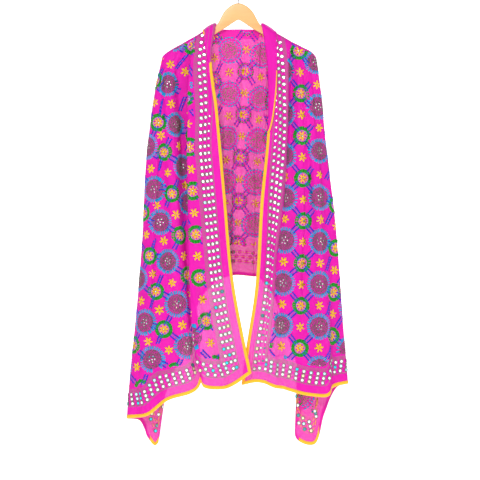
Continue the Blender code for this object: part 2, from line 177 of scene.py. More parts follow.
CREASES: tuple[Crease, ...] = (
    Crease("left_strip_diagonal", 1.75, 0.72, 1.05, 1.00, 5.0, 0.13),
    Crease("left_strip_hollow", 1.45, 0.70, 0.80, 1.00, -4.0, 0.16),
    Crease("left_strip_soft", 0.95, 0.20, 1.25, 0.62, 2.4, 0.22),
    Crease("left_valley", 3.0, 0.03, 3.0, 0.95, -5.0, 0.32),
    Crease("left_panel_ridge", 5.50, 0.10, 5.30, 0.70, 3.0, 0.20),
    Crease("left_panel_hollow", 6.45, 0.25, 6.60, 0.95, -3.0, 0.22),
    Crease("left_side_crease", 7.25, 0.80, 7.45, 1.00, -5.0, 0.16),
    Crease("left_shoulder_pull", 6.90, 0.02, 5.80, 0.30, 2.5, 0.25),
    Crease("left_back_ridge", 9.50, 0.10, 9.60, 0.95, 4.0, 0.25),
    Crease("left_back_hollow", 11.5, 0.20, 11.4, 0.90, -3.5, 0.25),
    Crease("back_left_ridge", 14.5, 0.08, 14.7, 1.00, 4.5, 0.30),
    Crease("back_left_hollow", 15.6, 0.15, 15.5, 1.00, -4.0, 0.25),
    Crease("back_crease", 18.0, 0.04, 17.75, 0.95, -4.5, 0.10),
    Crease("back_crease_lip", 18.18, 0.04, 17.95, 0.95, 3.0, 0.10),
    Crease("back_right_hollow", 20.6, 0.15, 20.5, 1.00, -4.0, 0.25),
    Crease("back_right_ridge", 21.6, 0.08, 21.4, 1.00, 4.5, 0.30),
    Crease("right_back_hollow", 24.5, 0.20, 24.6, 0.90, -3.5, 0.25),
    Crease("right_back_ridge", 26.5, 0.10, 26.4, 0.95, 4.0, 0.25),
    Crease("right_shoulder_pull", 30.2, 0.02, 31.3, 0.30, 2.5, 0.25),
    Crease("right_panel_ridge", 31.5, 0.15, 31.4, 0.80, 2.6, 0.20),
    Crease("right_panel_hollow", 30.6, 0.35, 30.5, 1.00, -2.6, 0.18),
    Crease("right_strip_soft", 35.1, 0.30, 34.8, 0.85, 2.4, 0.22),
    Crease("right_strip_hollow", 34.5, 0.55, 34.6, 1.00, -3.0, 0.16),
)

MOTIF_CELL = 0.1188  # side of the lattice's square cell
MIRROR_ROWS = (0.0385, 0.0510, 0.0635)
STITCH_LINES = (0.0300, 0.0322, 0.0447, 0.0572, 0.0696, 0.0722, 0.0748, 0.0774)
MIRROR_PITCH = 0.0192
MIRROR_RADIUS = 0.0045
BINDING_WIDTH = 0.0082
FAR = 9.0  # metres: more than any distance on the cloth
CLOTH_HALF = 0.00035  # half the shell's thickness


class Side(Enum):
    """Which face of the cloth something lies on."""

    RIGHT = 1
    WRONG = -1


class Tone(Enum):
    """Thread and foil colours, linear RGB."""

    SKY = (0.001, 0.340, 0.690)
    LEAF = (0.004, 0.310, 0.012)
    ROYAL = (0.018, 0.022, 0.600)
    AZURE = (0.050, 0.180, 0.780)
    GOLD = (0.980, 0.540, 0.001)
    LILAC = (0.560, 0.300, 0.700)
    OLIVE = (0.075, 0.125, 0.070)
    ORANGE = (0.950, 0.380, 0.050)


# ---------------------------------------------------------------- shared shader groups


def group_socket(
    group: bpy.types.NodeTree, name: str, way: str, kind: str, value: float | None = None
) -> None:
    """Add one named socket to a shader group.

    Args:
        group: the node group.
        name: the socket's name.
        way: INPUT or OUTPUT.
        kind: the socket's type.
        value: its default, if it has one.
    """
    socket = group.interface.new_socket(name, in_out=way, socket_type=kind)
    if value is not None:
        socket.default_value = value


class NodeHelp:
    """Short ways to add and join shader nodes in one tree."""

    def __init__(self, tree: bpy.types.NodeTree) -> None:
        """Keep the tree that nodes are added to."""
        self.tree = tree

    def add(self, kind: str, **settings: object) -> bpy.types.Node:
        """Add a node and set its properties.

        Args:
            kind: the node's type name.
            settings: property values.

        Returns:
            The new node.
        """
        node = self.tree.nodes.new(kind)
        for key, value in settings.items():
            setattr(node, key, value)
        return node

    def feed(self, socket: bpy.types.NodeSocket, value: object) -> None:
        """Link a socket's value from another socket, or set it."""
        if isinstance(value, bpy.types.NodeSocket):
            self.tree.links.new(value, socket)
        else:
            socket.default_value = value

    def math(
        self, operation: str, first: object, second: object = 0.0, third: object = 0.0
    ) -> bpy.types.NodeSocket:
        """Add a Math node and return its result."""
        node = self.add("ShaderNodeMath", operation=operation)
        for socket, value in zip(node.inputs, (first, second, third)):
            self.feed(socket, value)
        return node.outputs[0]

    def mix(self, factor: object, first: object, second: object) -> bpy.types.NodeSocket:
        """Add a colour Mix node and return its result."""
        node = self.add("ShaderNodeMix", data_type="RGBA")
        self.feed(node.inputs["Factor"], factor)
        self.feed(node.inputs[6], first)
        self.feed(node.inputs[7], second)
        return node.outputs[2]

    def noise(
        self, vector: object, scale: float, detail: float = 3.0, rough: float = 0.5
    ) -> bpy.types.NodeSocket:
        """Add a Noise texture and return its value."""
        node = self.add("ShaderNodeTexNoise")
        self.feed(node.inputs["Vector"], vector)
        node.inputs["Scale"].default_value = scale
        node.inputs["Detail"].default_value = detail
        node.inputs["Roughness"].default_value = rough
        return node.outputs[0]

    def scaled(self, vector: object, factors: tuple[float, float, float]) -> bpy.types.NodeSocket:
        """Stretch a coordinate by three factors."""
        node = self.add("ShaderNodeMapping")
        self.feed(node.inputs["Vector"], vector)
        node.inputs["Scale"].default_value = factors
        return node.outputs[0]

    def bump(self, height: object, strength: float, distance: float) -> bpy.types.NodeSocket:
        """Add a Bump node and return its normal."""
        node = self.add("ShaderNodeBump")
        self.feed(node.inputs["Height"], height)
        node.inputs["Strength"].default_value = strength
        node.inputs["Distance"].default_value = distance
        return node.outputs[0]


def crepe_group() -> bpy.types.NodeTree:
    """Crepe georgette weave in flat coordinates.

    Two thread waves at right angles, broken by fine noise, give the height; slow noise gives an
    uneven dye mask.

    Returns:
        The node group, built once.
    """
    if "crepe_weave" in bpy.data.node_groups:
        return bpy.data.node_groups["crepe_weave"]
    group = bpy.data.node_groups.new("crepe_weave", "ShaderNodeTree")
    group_socket(group, "Flat", "INPUT", "NodeSocketVector")
    group_socket(group, "Threads per metre", "INPUT", "NodeSocketFloat", 900.0)
    group_socket(group, "Height", "OUTPUT", "NodeSocketFloat")
    group_socket(group, "Dye", "OUTPUT", "NodeSocketFloat")
    kit = NodeHelp(group)
    into = kit.add("NodeGroupInput")
    out = kit.add("NodeGroupOutput")
    parts = kit.add("ShaderNodeSeparateXYZ")
    kit.feed(parts.inputs[0], into.outputs["Flat"])
    turn = kit.math("MULTIPLY", into.outputs["Threads per metre"], 2 * math.pi)
    warp = kit.math("SINE", kit.math("MULTIPLY", parts.outputs[0], turn))
    weft = kit.math("SINE", kit.math("MULTIPLY", parts.outputs[1], turn))
    crinkle = kit.noise(into.outputs["Flat"], 420.0, 2.0, 0.6)
    slub = kit.noise(kit.scaled(into.outputs["Flat"], (60.0, 900.0, 1.0)), 1.0, 2.0)
    woven = kit.math("MULTIPLY", kit.math("MULTIPLY", warp, weft), 0.35)
    height = kit.math("ADD", woven, kit.math("MULTIPLY_ADD", crinkle, 1.1, slub))
    kit.feed(out.inputs["Height"], height)
    kit.feed(out.inputs["Dye"], kit.noise(into.outputs["Flat"], 14.0, 3.0, 0.55))
    return group


def running_stitch_group() -> bpy.types.NodeTree:
    """Lines of running stitch beside the mirrors of the border.

    A line shows where the distance from the cloth's edge is within half a thread of its place;
    each is broken into dashes along the edge.

    Returns:
        The node group, built once.
    """
    if "running_stitch" in bpy.data.node_groups:
        return bpy.data.node_groups["running_stitch"]
    group = bpy.data.node_groups.new("running_stitch", "ShaderNodeTree")
    for name, value in (("Edge gap", 1.0), ("Along", 0.0), ("Dash pitch", 0.0046)):
        group_socket(group, name, "INPUT", "NodeSocketFloat", value)
    group_socket(group, "Mask", "OUTPUT", "NodeSocketFloat")
    kit = NodeHelp(group)
    into = kit.add("NodeGroupInput")
    out = kit.add("NodeGroupOutput")
    mask: object = 0.0
    for place in STITCH_LINES:
        mask = kit.math("MAXIMUM", mask, kit.math("COMPARE", into.outputs["Edge gap"], place, 0.00085))
    shift = kit.math("MULTIPLY", into.outputs["Edge gap"], 37.0)
    dashes = kit.math("ADD", kit.math("DIVIDE", into.outputs["Along"], into.outputs["Dash pitch"]), shift)
    dash = kit.math("LESS_THAN", kit.math("FRACT", dashes), 0.70)
    kit.feed(out.inputs["Mask"], kit.math("MULTIPLY", mask, dash))
    return group


def new_material(name: str) -> tuple[bpy.types.Material, NodeHelp, bpy.types.Node]:
    """Start a material.

    Args:
        name: its name.

    Returns:
        The material, its node helper and its Principled shader.
    """
    made = bpy.data.materials.new(name)
    made.use_nodes = True
    kit = NodeHelp(made.node_tree)
    return made, kit, made.node_tree.nodes["Principled BSDF"]


def flat_map(kit: NodeHelp, name: str) -> bpy.types.NodeSocket:
    """Coordinates of a named UV map."""
    return kit.add("ShaderNodeUVMap", uv_map=name).outputs[0]


# ---------------------------------------------------------------- finishes


@dataclass(frozen=True)
class ClothFinish:
    """Semi-sheer crepe, with the border's running stitches worked into it."""

    name: str
    colour: tuple[float, float, float]
    deep: tuple[float, float, float]
    stitch: tuple[float, float, float]
    cover: float = 0.68
    stitch_strength: float = 0.9

    def build(self) -> bpy.types.Material:
        """Make the cloth material, whose patterns follow the flat and border maps."""
        made, kit, shader = new_material(self.name)
        flat = flat_map(kit, "flat")
        border = flat_map(kit, "border")
        weave = kit.add("ShaderNodeGroup", node_tree=crepe_group())
        kit.feed(weave.inputs["Flat"], flat)
        weave.inputs["Threads per metre"].default_value = 900.0
        parts = kit.add("ShaderNodeSeparateXYZ")
        kit.feed(parts.inputs[0], border)
        rows = kit.add("ShaderNodeGroup", node_tree=running_stitch_group())
        kit.feed(rows.inputs["Edge gap"], parts.outputs[0])
        kit.feed(rows.inputs["Along"], parts.outputs[1])
        rows.inputs["Dash pitch"].default_value = 0.0046
        dyed = kit.mix(weave.outputs["Dye"], (*self.deep, 1.0), (*self.colour, 1.0))
        mask = kit.math("MULTIPLY", rows.outputs["Mask"], self.stitch_strength)
        kit.feed(shader.inputs["Base Color"], kit.mix(mask, dyed, (*self.stitch, 1.0)))
        height = kit.math("MULTIPLY_ADD", rows.outputs["Mask"], 2.0, weave.outputs["Height"])
        kit.feed(shader.inputs["Normal"], kit.bump(height, 0.35, 0.0003))
        kit.feed(shader.inputs["Roughness"], kit.math("MULTIPLY_ADD", weave.outputs["Dye"], 0.12, 0.58))
        shader.inputs["Alpha"].default_value = self.cover
        shader.inputs["Sheen Weight"].default_value = 0.08
        shader.inputs["Sheen Roughness"].default_value = 0.5
        shader.inputs["Sheen Tint"].default_value = (1.0, 0.45, 0.85, 1.0)
        shader.inputs["Specular IOR Level"].default_value = 0.25
        return made


@dataclass(frozen=True)
class ThreadFinish:
    """Stranded silk thread: fine twist lines along each stitch."""

    tone: Tone

    def build(self) -> bpy.types.Material:
        """Make the thread material; its twist follows each stitch's own map."""
        made, kit, shader = new_material("thread_" + self.tone.name.lower())
        stitch = flat_map(kit, "stitch")
        strand = kit.noise(kit.scaled(stitch, (350.0, 2600.0, 1.0)), 1.0, 2.0)
        shade = kit.noise(kit.scaled(stitch, (3.0, 3.0, 1.0)), 37.0, 1.0)
        base = np.array(self.tone.value)
        dark = tuple(base * 0.62)
        light = tuple(np.minimum(base * 1.18 + 0.01, 1.0))
        blend = kit.math("MULTIPLY_ADD", shade, 0.9, 0.15)
        kit.feed(shader.inputs["Base Color"], kit.mix(blend, (*dark, 1), (*light, 1)))
        kit.feed(shader.inputs["Normal"], kit.bump(strand, 0.5, 0.0003))
        kit.feed(shader.inputs["Roughness"], kit.math("MULTIPLY_ADD", strand, 0.25, 0.45))
        shader.inputs["Specular IOR Level"].default_value = 0.2
        return made


@dataclass(frozen=True)
class FoilFinish:
    """Foil mirror discs, most of them silver and some turning cyan or cream."""

    name: str = "mirror_foil"

    def build(self) -> bpy.types.Material:
        """Make the foil material; each disc's tint comes from its own map."""
        made, kit, shader = new_material(self.name)
        disc = flat_map(kit, "disc")
        parts = kit.add("ShaderNodeSeparateXYZ")
        kit.feed(parts.inputs[0], disc)
        ramp = kit.add("ShaderNodeValToRGB")
        ramp.color_ramp.interpolation = "CONSTANT"
        stops = ramp.color_ramp.elements
        stops[0].position, stops[0].color = 0.0, (0.93, 0.97, 0.95, 1)
        stops[1].position, stops[1].color = 0.70, (0.60, 0.86, 0.92, 1)
        for place, colour in (
            (0.80, (0.05, 0.70, 0.88, 1)),
            (0.90, (0.90, 0.80, 0.50, 1)),
            (0.96, (0.10, 0.34, 0.42, 1)),
        ):
            stop = stops.new(place)
            stop.color = colour
        kit.feed(ramp.inputs[0], parts.outputs[0])
        kit.feed(shader.inputs["Base Color"], ramp.outputs[0])
        dent = kit.noise(kit.add("ShaderNodeTexCoord").outputs["Object"], 260.0, 2.0)
        kit.feed(shader.inputs["Normal"], kit.bump(dent, 0.25, 0.0006))
        kit.feed(shader.inputs["Roughness"], kit.math("MULTIPLY_ADD", dent, 0.2, 0.12))
        shader.inputs["Metallic"].default_value = 0.55
        return made


@dataclass(frozen=True)
class BindingFinish:
    """Yellow satin-faced binding strip with a row of machine stitches."""

    name: str = "yellow_binding"

    def build(self) -> bpy.types.Material:
        """Make the binding material in the strip's own map: x along, y across."""
        made, kit, shader = new_material(self.name)
        strip = flat_map(kit, "strip")
        parts = kit.add("ShaderNodeSeparateXYZ")
        kit.feed(parts.inputs[0], strip)
        across = kit.math("ABSOLUTE", kit.math("SUBTRACT", parts.outputs[1], 0.0062))
        row = kit.math("LESS_THAN", across, 0.0004)
        dash = kit.math("LESS_THAN", kit.math("FRACT", kit.math("MULTIPLY", parts.outputs[0], 400.0)), 0.7)
        seam = kit.math("MULTIPLY", row, dash)
        pucker = kit.noise(kit.scaled(strip, (160.0, 30.0, 1.0)), 1.0, 2.0)
        # Painted light and shade: the yellow follows the pucker height, lighter on raised puckers and darker
        # in their hollows.
        tone = kit.mix(pucker, (0.80, 0.38, 0.001, 1), (0.98, 0.55, 0.001, 1))
        stitched = kit.mix(kit.math("MULTIPLY", seam, 0.6), tone, (0.75, 0.30, 0.01, 1))
        kit.feed(shader.inputs["Base Color"], stitched)
        height = kit.math("SUBTRACT", kit.math("MULTIPLY", pucker, 1.5), seam)
        kit.feed(shader.inputs["Normal"], kit.bump(height, 0.5, 0.0006))
        kit.feed(shader.inputs["Roughness"], kit.math("MULTIPLY_ADD", pucker, 0.2, 0.42))
        shader.inputs["Sheen Weight"].default_value = 0.2
        return made


@dataclass(frozen=True)
class WoodFinish:
    """Pale lacquered wood, its grain running along the hanger."""

    name: str = "pale_wood"

    def build(self) -> bpy.types.Material:
        """Make the wood from stretched noise along X, with fine pores."""
        made, kit, shader = new_material(self.name)
        place = kit.add("ShaderNodeTexCoord").outputs["Object"]
        grain = kit.noise(kit.scaled(place, (6.0, 160.0, 70.0)), 1.0, 5.0, 0.6)
        pores = kit.noise(kit.scaled(place, (60.0, 1500.0, 900.0)), 1.0, 2.0)
        fine = kit.noise(kit.scaled(place, (14.0, 420.0, 240.0)), 1.0, 3.0)
        tone = kit.mix(grain, (0.68, 0.33, 0.105, 1), (0.90, 0.53, 0.21, 1))
        tone = kit.mix(kit.math("MULTIPLY", fine, 0.35), tone, (0.70, 0.36, 0.13, 1))
        kit.feed(shader.inputs["Base Color"], tone)
        height = kit.math("MULTIPLY_ADD", pores, 0.6, grain)
        kit.feed(shader.inputs["Normal"], kit.bump(height, 0.15, 0.0004))
        kit.feed(shader.inputs["Roughness"], kit.math("MULTIPLY_ADD", grain, 0.15, 0.30))
        shader.inputs["Coat Weight"].default_value = 0.3
        shader.inputs["Coat Roughness"].default_value = 0.25
        return made


@dataclass(frozen=True)
class SteelFinish:
    """Drawn steel wire with faint lengthwise marks."""

    name: str = "hook_wire"

    def build(self) -> bpy.types.Material:
        """Make the wire's metal from fine noise."""
        made, kit, shader = new_material(self.name)
        place = kit.add("ShaderNodeTexCoord").outputs["Object"]
        marks = kit.noise(kit.scaled(place, (900.0, 900.0, 120.0)), 1.0, 3.0)
        kit.feed(shader.inputs["Base Color"], kit.mix(marks, (0.50, 0.51, 0.53, 1), (0.74, 0.75, 0.77, 1)))
        kit.feed(shader.inputs["Roughness"], kit.math("MULTIPLY_ADD", marks, 0.2, 0.15))
        kit.feed(shader.inputs["Normal"], kit.bump(marks, 0.1, 0.0002))
        shader.inputs["Metallic"].default_value = 1.0
        return made


@dataclass(frozen=True)
class StudioFinish:
    """Matt white paper of the floor and backdrop."""

    name: str = "studio_paper"

    def build(self) -> bpy.types.Material:
        """Make the white paper, faintly mottled and largely self-lit, so that it stays white."""
        made, kit, shader = new_material(self.name)
        place = kit.add("ShaderNodeTexCoord").outputs["Object"]
        mottle = kit.mix(kit.noise(place, 2.0), (0.96, 0.96, 0.96, 1), (0.99, 0.99, 0.99, 1))
        kit.feed(shader.inputs["Base Color"], mottle)
        shader.inputs["Roughness"].default_value = 0.9
        shader.inputs["Emission Color"].default_value = (1, 1, 1, 1)
        shader.inputs["Emission Strength"].default_value = 0.72
        return made


# ---------------------------------------------------------------- the draped surface


def hermite(knots: Array, values: Array, at: Array) -> Array:
    """Smooth curve through values at knots: cubic pieces whose slopes average the chords beside.

    Args:
        knots: rising places, (rows, n).
        values: what to pass through, (rows, n, k).
        at: where to read it, (rows, m).

    Returns:
        The values at those places, (rows, m, k).
    """
    step = np.diff(knots, axis=1)
    slope = np.diff(values, axis=1) / step[..., None]
    before = step[:, :-1, None]
    after = step[:, 1:, None]
    inner = (slope[:, :-1] * after + slope[:, 1:] * before) / (before + after)
    tangent = np.concatenate([slope[:, :1], inner, slope[:, -1:]], axis=1)
    rows = np.arange(len(knots))[:, None]
    index = (knots[:, None, 1:-1] <= at[..., None]).sum(axis=2)
    h = step[rows, index][..., None]
    s = (at[..., None] - knots[rows, index][..., None]) / h
    return (
        (2 * s**3 - 3 * s**2 + 1) * values[rows, index]
        + (s**3 - 2 * s**2 + s) * h * tangent[rows, index]
        + (3 * s**2 - 2 * s**3) * values[rows, index + 1]
        + (s**3 - s**2) * h * tangent[rows, index + 1]
    )


def unit(vectors: Array) -> Array:
    """Vectors scaled to length one along their last axis."""
    return vectors / np.maximum(np.linalg.norm(vectors, axis=-1, keepdims=True), 1e-12)


def smoothstep(low: float, high: float, at: Array) -> Array:
    """Rise from 0 at low to 1 at high, level at both ends: s * s * (3 - 2 * s)."""
    s = np.clip((at - low) / (high - low), 0.0, 1.0)
    return s * s * (3 - 2 * s)


def arc_lengths(points: Array, axis: int) -> Array:
    """Running length along one axis of a grid of points, starting from 0."""
    step = np.linalg.norm(np.diff(points, axis=axis), axis=-1)
    total = np.cumsum(step, axis=axis)
    pad = [(0, 0)] * total.ndim
    pad[axis] = (1, 0)
    return np.pad(total, pad)


def grid_area(points: Array) -> float:
    """Area of a grid of points: half the cross product of each cell's diagonals, summed."""
    cross = np.cross(points[1:, 1:] - points[:-1, :-1], points[1:, :-1] - points[:-1, 1:])
    return float(np.linalg.norm(cross, axis=2).sum() / 2)


def fold_lines(t: Array) -> Array:
    """Points of every fold line at shares t of its drop, (len(t), folds, 3) in metres."""
    knots = np.array([(0.0, *STATIONS)])
    rolled = np.clip(t / SHOULDER_ROLL, 0, 1)
    turned = np.sqrt(1 - (1 - rolled) ** 2)
    lines = []
    for fold in FOLDS:
        plan = np.array([(fold.top_x, fold.top_y), *zip(fold.x, fold.y)], float)
        place = hermite(knots, plan[None], t[None])[0]
        roll = turned if fold.over else np.ones_like(t)
        z = fold.top_z + (fold.hem_z - fold.top_z) * t
        lines.append(np.stack([place[:, 0], place[:, 1] * roll, z], axis=1))
    return np.stack(lines, axis=1) * MM


@dataclass
class Drape:
    """The whole cloth as one fine grid: columns run down the fold lines, rows run across them."""

    columns_per_fold: int = 11
    rows: int = 205
    seed: int = 41

    WRINKLES = 26  # upright waves in the sum of fine wrinkles
    RELIEF_GAIN = 1.35  # factor on the height of every crease and wrinkle
    WALK_STEPS = 7
    LONGEST_STEP = (0.4, 0.02)  # most of a fold number and of a share that one step may cross

    def __post_init__(self) -> None:
        """Lay the grid, press in the creases and measure it."""
        self.c = np.linspace(0, LAST_FOLD, LAST_FOLD * self.columns_per_fold + 1)
        rolled = np.array([0.0, 0.05, 0.2, 0.45, 0.7, 1.0]) * SHOULDER_ROLL
        self.t = np.concatenate([rolled, np.linspace(SHOULDER_ROLL, 1.0, self.rows)[1:]])
        lines = fold_lines(self.t)
        chord = np.linalg.norm(np.diff(lines, axis=1), axis=2) ** 0.5
        knots = np.concatenate([np.zeros((len(self.t), 1)), np.cumsum(chord, axis=1)], axis=1)
        low = np.clip(np.floor(self.c).astype(int), 0, LAST_FOLD - 1)
        at = knots[:, low] + (self.c - low) * (knots[:, low + 1] - knots[:, low])
        flat = hermite(knots, lines, at)
        self.points = flat + self.facing(flat) * self.relief()[..., None]
        self.normals = self.facing(self.points)
        self.row_length = arc_lengths(self.points, 1)
        self.drop = arc_lengths(self.points, 0)[-1]
        self.bottom_length = arc_lengths(self.points[-1:], 1)[0]
        self.by_c = np.gradient(self.points, self.c, axis=1)
        self.by_t = np.gradient(self.points, self.t, axis=0)
        slant = (unit(self.by_c[-1]) * unit(self.by_t[-1])).sum(axis=1)
        self.hem_sine = np.sqrt(np.maximum(1 - slant**2, 0.04))

    def facing(self, points: Array) -> Array:
        """Unit normals of a grid of points: across times down, which faces out of the cape."""
        return unit(np.cross(np.gradient(points, axis=1), np.gradient(points, axis=0)))

    def relief(self) -> Array:
        """Height of creases and fine wrinkles over the smooth drape, in metres.

        Each crease is depth times exp(-(distance / width)^2) about its line, faded in at the
        ends. The wrinkles are a seeded sum of long upright waves.
        """
        t = self.t[:, None]
        c = self.c[None]
        height = np.zeros((len(self.t), len(self.c)))
        for crease in CREASES:
            run = (t - crease.t_top) / (crease.t_bottom - crease.t_top)
            centre = crease.c_top + (crease.c_bottom - crease.c_top) * np.clip(run, 0, 1)
            fade = smoothstep(-0.12, 0.14, run)
            if crease.t_bottom < 0.99:
                fade = fade * (1 - smoothstep(0.86, 1.12, run))
            height += crease.depth * fade * np.exp(-(((c - centre) / crease.width) ** 2))
        waves = np.random.default_rng(self.seed)
        for _ in range(self.WRINKLES):
            quick = waves.uniform(0.5, 1.9)
            slow = waves.uniform(-3.0, 3.0)
            phase = waves.uniform(0, 2 * math.pi, 2)
            lift = waves.uniform(0.12, 0.42) / quick**0.6
            patch = 0.55 + 0.45 * np.sin(2 * math.pi * (slow * 0.6 * t + 0.07 * c) + phase[1])
            height += lift * patch * np.sin(2 * math.pi * (quick * c * 0.8 + slow * t) + phase[0])
        return height * smoothstep(0.012, 0.10, t) * self.RELIEF_GAIN * MM

    def sample(self, c: Array, t: Array) -> tuple[Array, Array]:
        """Points and unit normals at fold numbers c and shares t, of one shape."""
        points, normals = self.read(c, t, self.points, self.normals)
        return points, unit(normals)

    def walk(self, c: Array, t: Array, angle: Array, reach: Array, turn: int) -> tuple[Array, Array]:
        """Go straight over the cloth from places c and t, in short steps.

        The heading starts at an angle from the row's direction and is laid into the tangent
        plane again after each step, so equal reaches keep a round motif round on a fold. A step
        of length (a, b) along the two tangents is solved from their products e, f and g.

        Args:
            c, t: fold numbers and shares to start from.
            angle: heading, anticlockwise from the way v grows.
            reach: how far to go, in metres.
            turn: 1 where v grows with the fold number, else -1.

        Returns:
            The fold numbers and shares reached.
        """
        by_c, by_t, normal = self.read(c, np.clip(t, 0, 1), self.by_c, self.by_t, self.normals)
        ahead = unit(by_c) * turn
        upward = unit(-by_t - (-by_t * ahead).sum(axis=-1, keepdims=True) * ahead)
        heading = np.cos(angle)[..., None] * ahead + np.sin(angle)[..., None] * upward
        step = (reach / self.WALK_STEPS)[..., None] * np.ones(3)
        for _ in range(self.WALK_STEPS):
            e = (by_c * by_c).sum(axis=-1)
            f = (by_c * by_t).sum(axis=-1)
            g = (by_t * by_t).sum(axis=-1)
            a = (heading * step * by_c).sum(axis=-1)
            b = (heading * step * by_t).sum(axis=-1)
            area = np.maximum(e * g - f * f, 1e-12)
            most_c, most_t = self.LONGEST_STEP
            c = np.clip(c + np.clip((a * g - b * f) / area, -most_c, most_c), 0, self.c[-1])
            t = t + np.clip((b * e - a * f) / area, -most_t, most_t)
            by_c, by_t, normal = self.read(c, np.clip(t, 0, 1), self.by_c, self.by_t, self.normals)
            normal = unit(normal)
            heading = unit(heading - (heading * normal).sum(axis=-1, keepdims=True) * normal)
        return c, t

    def read(self, c: Array, t: Array, *fields: Array) -> list[Array]:
        """Bilinear reading of grids at fold numbers c and shares t.

        Args:
            c: fold numbers, any shape.
            t: shares of the drop, the same shape.
            fields: grids of vectors.

        Returns:
            One array of vectors for each grid.
        """
        column = np.clip(np.interp(c, self.c, np.arange(len(self.c))), 0, len(self.c) - 1.001)
        row = np.clip(np.interp(t, self.t, np.arange(len(self.t))), 0, len(self.t) - 1.001)
        i = row.astype(int)
        j = column.astype(int)
        fy = (row - i)[..., None]
        fx = (column - j)[..., None]
        found = []
        for field in fields:
            upper = field[i, j] * (1 - fx) + field[i, j + 1] * fx
            lower = field[i + 1, j] * (1 - fx) + field[i + 1, j + 1] * fx
            found.append(upper * (1 - fy) + lower * fy)
        return found


@dataclass
class FlatMap:
    """One panel of the drape laid flat: v runs in from its reference column, u up from its hem.

    turn is 1 where v grows with the fold number and -1 where it falls.
    """

    drape: Drape
    first: float
    last: float
    origin: float
    turn: int

    STEP = 0.0025  # spacing of the table's distances
    ROUNDS = 7  # substitutions that settle a place
    SIDE_MARGIN = 0.04  # fold numbers kept clear beside the panel's sides

    def __post_init__(self) -> None:
        """Build the table that reads a fold number from a row and a distance v."""
        drape = self.drape
        self.low = int(round(self.first * drape.columns_per_fold))
        self.high = int(round(self.last * drape.columns_per_fold))
        zero = int(round(self.origin * drape.columns_per_fold))
        span = slice(self.low, self.high + 1)
        self.v = self.turn * (drape.row_length[:, span] - drape.row_length[:, zero : zero + 1])
        self.c = drape.c[span]
        self.u = (1 - drape.t[:, None]) * drape.drop[None, span]
        self.v_low = float(self.v.min())
        self.v_high = float(self.v.max())
        places = np.arange(self.v_low, self.v_high + self.STEP, self.STEP)
        order = slice(None, None, self.turn)
        self.table = np.stack([np.interp(places, row[order], self.c[order]) for row in self.v])

    def column_at(self, v: Array, t: Array) -> Array:
        """Fold number at distance v in the rows at shares t of the drop."""
        place = np.clip((v - self.v_low) / self.STEP, 0, self.table.shape[1] - 1.001)
        row = np.interp(t, self.drape.t, np.arange(len(self.drape.t)))
        row = np.clip(row, 0, len(self.drape.t) - 1.001)
        i = row.astype(int)
        j = place.astype(int)
        fy = row - i
        fx = place - j
        upper = self.table[i, j] * (1 - fx) + self.table[i, j + 1] * fx
        lower = self.table[i + 1, j] * (1 - fx) + self.table[i + 1, j + 1] * fx
        return upper * (1 - fy) + lower * fy

    def locate(self, v: Array, u: Array) -> tuple[Array, Array]:
        """Fold numbers and shares of the drop of flat places, by repeated substitution.

        Args:
            v: distances in from the reference column.
            u: distances up from the hem.

        Returns:
            Fold numbers c and shares t, which leave 0..1 where the place is off the panel.
        """
        c = np.full(np.shape(v), (self.first + self.last) / 2)
        t = np.full(np.shape(v), 0.5)
        for _ in range(self.ROUNDS):
            t = 1 - u / np.interp(c, self.drape.c, self.drape.drop)
            c = self.column_at(v, np.clip(t, 0, 1))
        return c, t

    def v_of(self, c: Array, t: Array) -> Array:
        """Distance v of fold numbers c in the rows at shares t."""
        row = np.interp(t, self.drape.t, np.arange(len(self.drape.t))).astype(int)
        column = np.interp(c, self.c, np.arange(len(self.c)))
        j = np.clip(column.astype(int), 0, len(self.c) - 2)
        share = column - j
        return self.v[row, j] * (1 - share) + self.v[row, j + 1] * share

    def border_fit(self, t: Array) -> tuple[Array, Array]:
        """How far the front border spreads and how much of it the turned edge takes, per row.

        A distance v in a row is gap * spread - taken. On the left both fade to 1 and 0; on the
        right the border narrows towards the hem.
        """
        if self.turn > 0:
            fade = 1 - smoothstep(0.14, 0.36, t)
            return 1 + 0.20 * fade, 0.034 * fade
        fade = 1 - smoothstep(0.30, 0.66, t)
        return 0.82 + 0.38 * fade, 0.019 * fade

    def edge_gap(self, v: Array, t: Array) -> Array:
        """Distance from the front edge as cut, of places v in the rows at shares t."""
        spread, taken = self.border_fit(t)
        return (v + taken) / spread

    def inside(self, c: Array, t: Array) -> Array:
        """Whether places lie on the panel, a little clear of its sides."""
        clear = (c > self.first + self.SIDE_MARGIN) & (c < self.last - self.SIDE_MARGIN)
        return clear & (t > 0.004) & (t < 0.999)


# ---------------------------------------------------------------- mesh helpers


def grid_faces(rows: int, columns: int, offset: int = 0, flip: bool = False) -> Array:
    """Quads of a grid of points, (n, 4)."""
    index = np.arange(rows * columns).reshape(rows, columns) + offset
    quads = np.stack([index[:-1, :-1], index[:-1, 1:], index[1:, 1:], index[1:, :-1]], axis=-1)
    quads = quads.reshape(-1, 4)
    return quads[:, ::-1] if flip else quads


def loop_faces(rings: int, size: int, offset: int = 0) -> Array:
    """Quads that join closed rings of points in order, (n, 4)."""
    index = np.arange(rings * size).reshape(rings, size) + offset
    after = np.roll(index, -1, axis=1)
    return np.stack([index[:-1], after[:-1], after[1:], index[1:]], axis=-1).reshape(-1, 4)


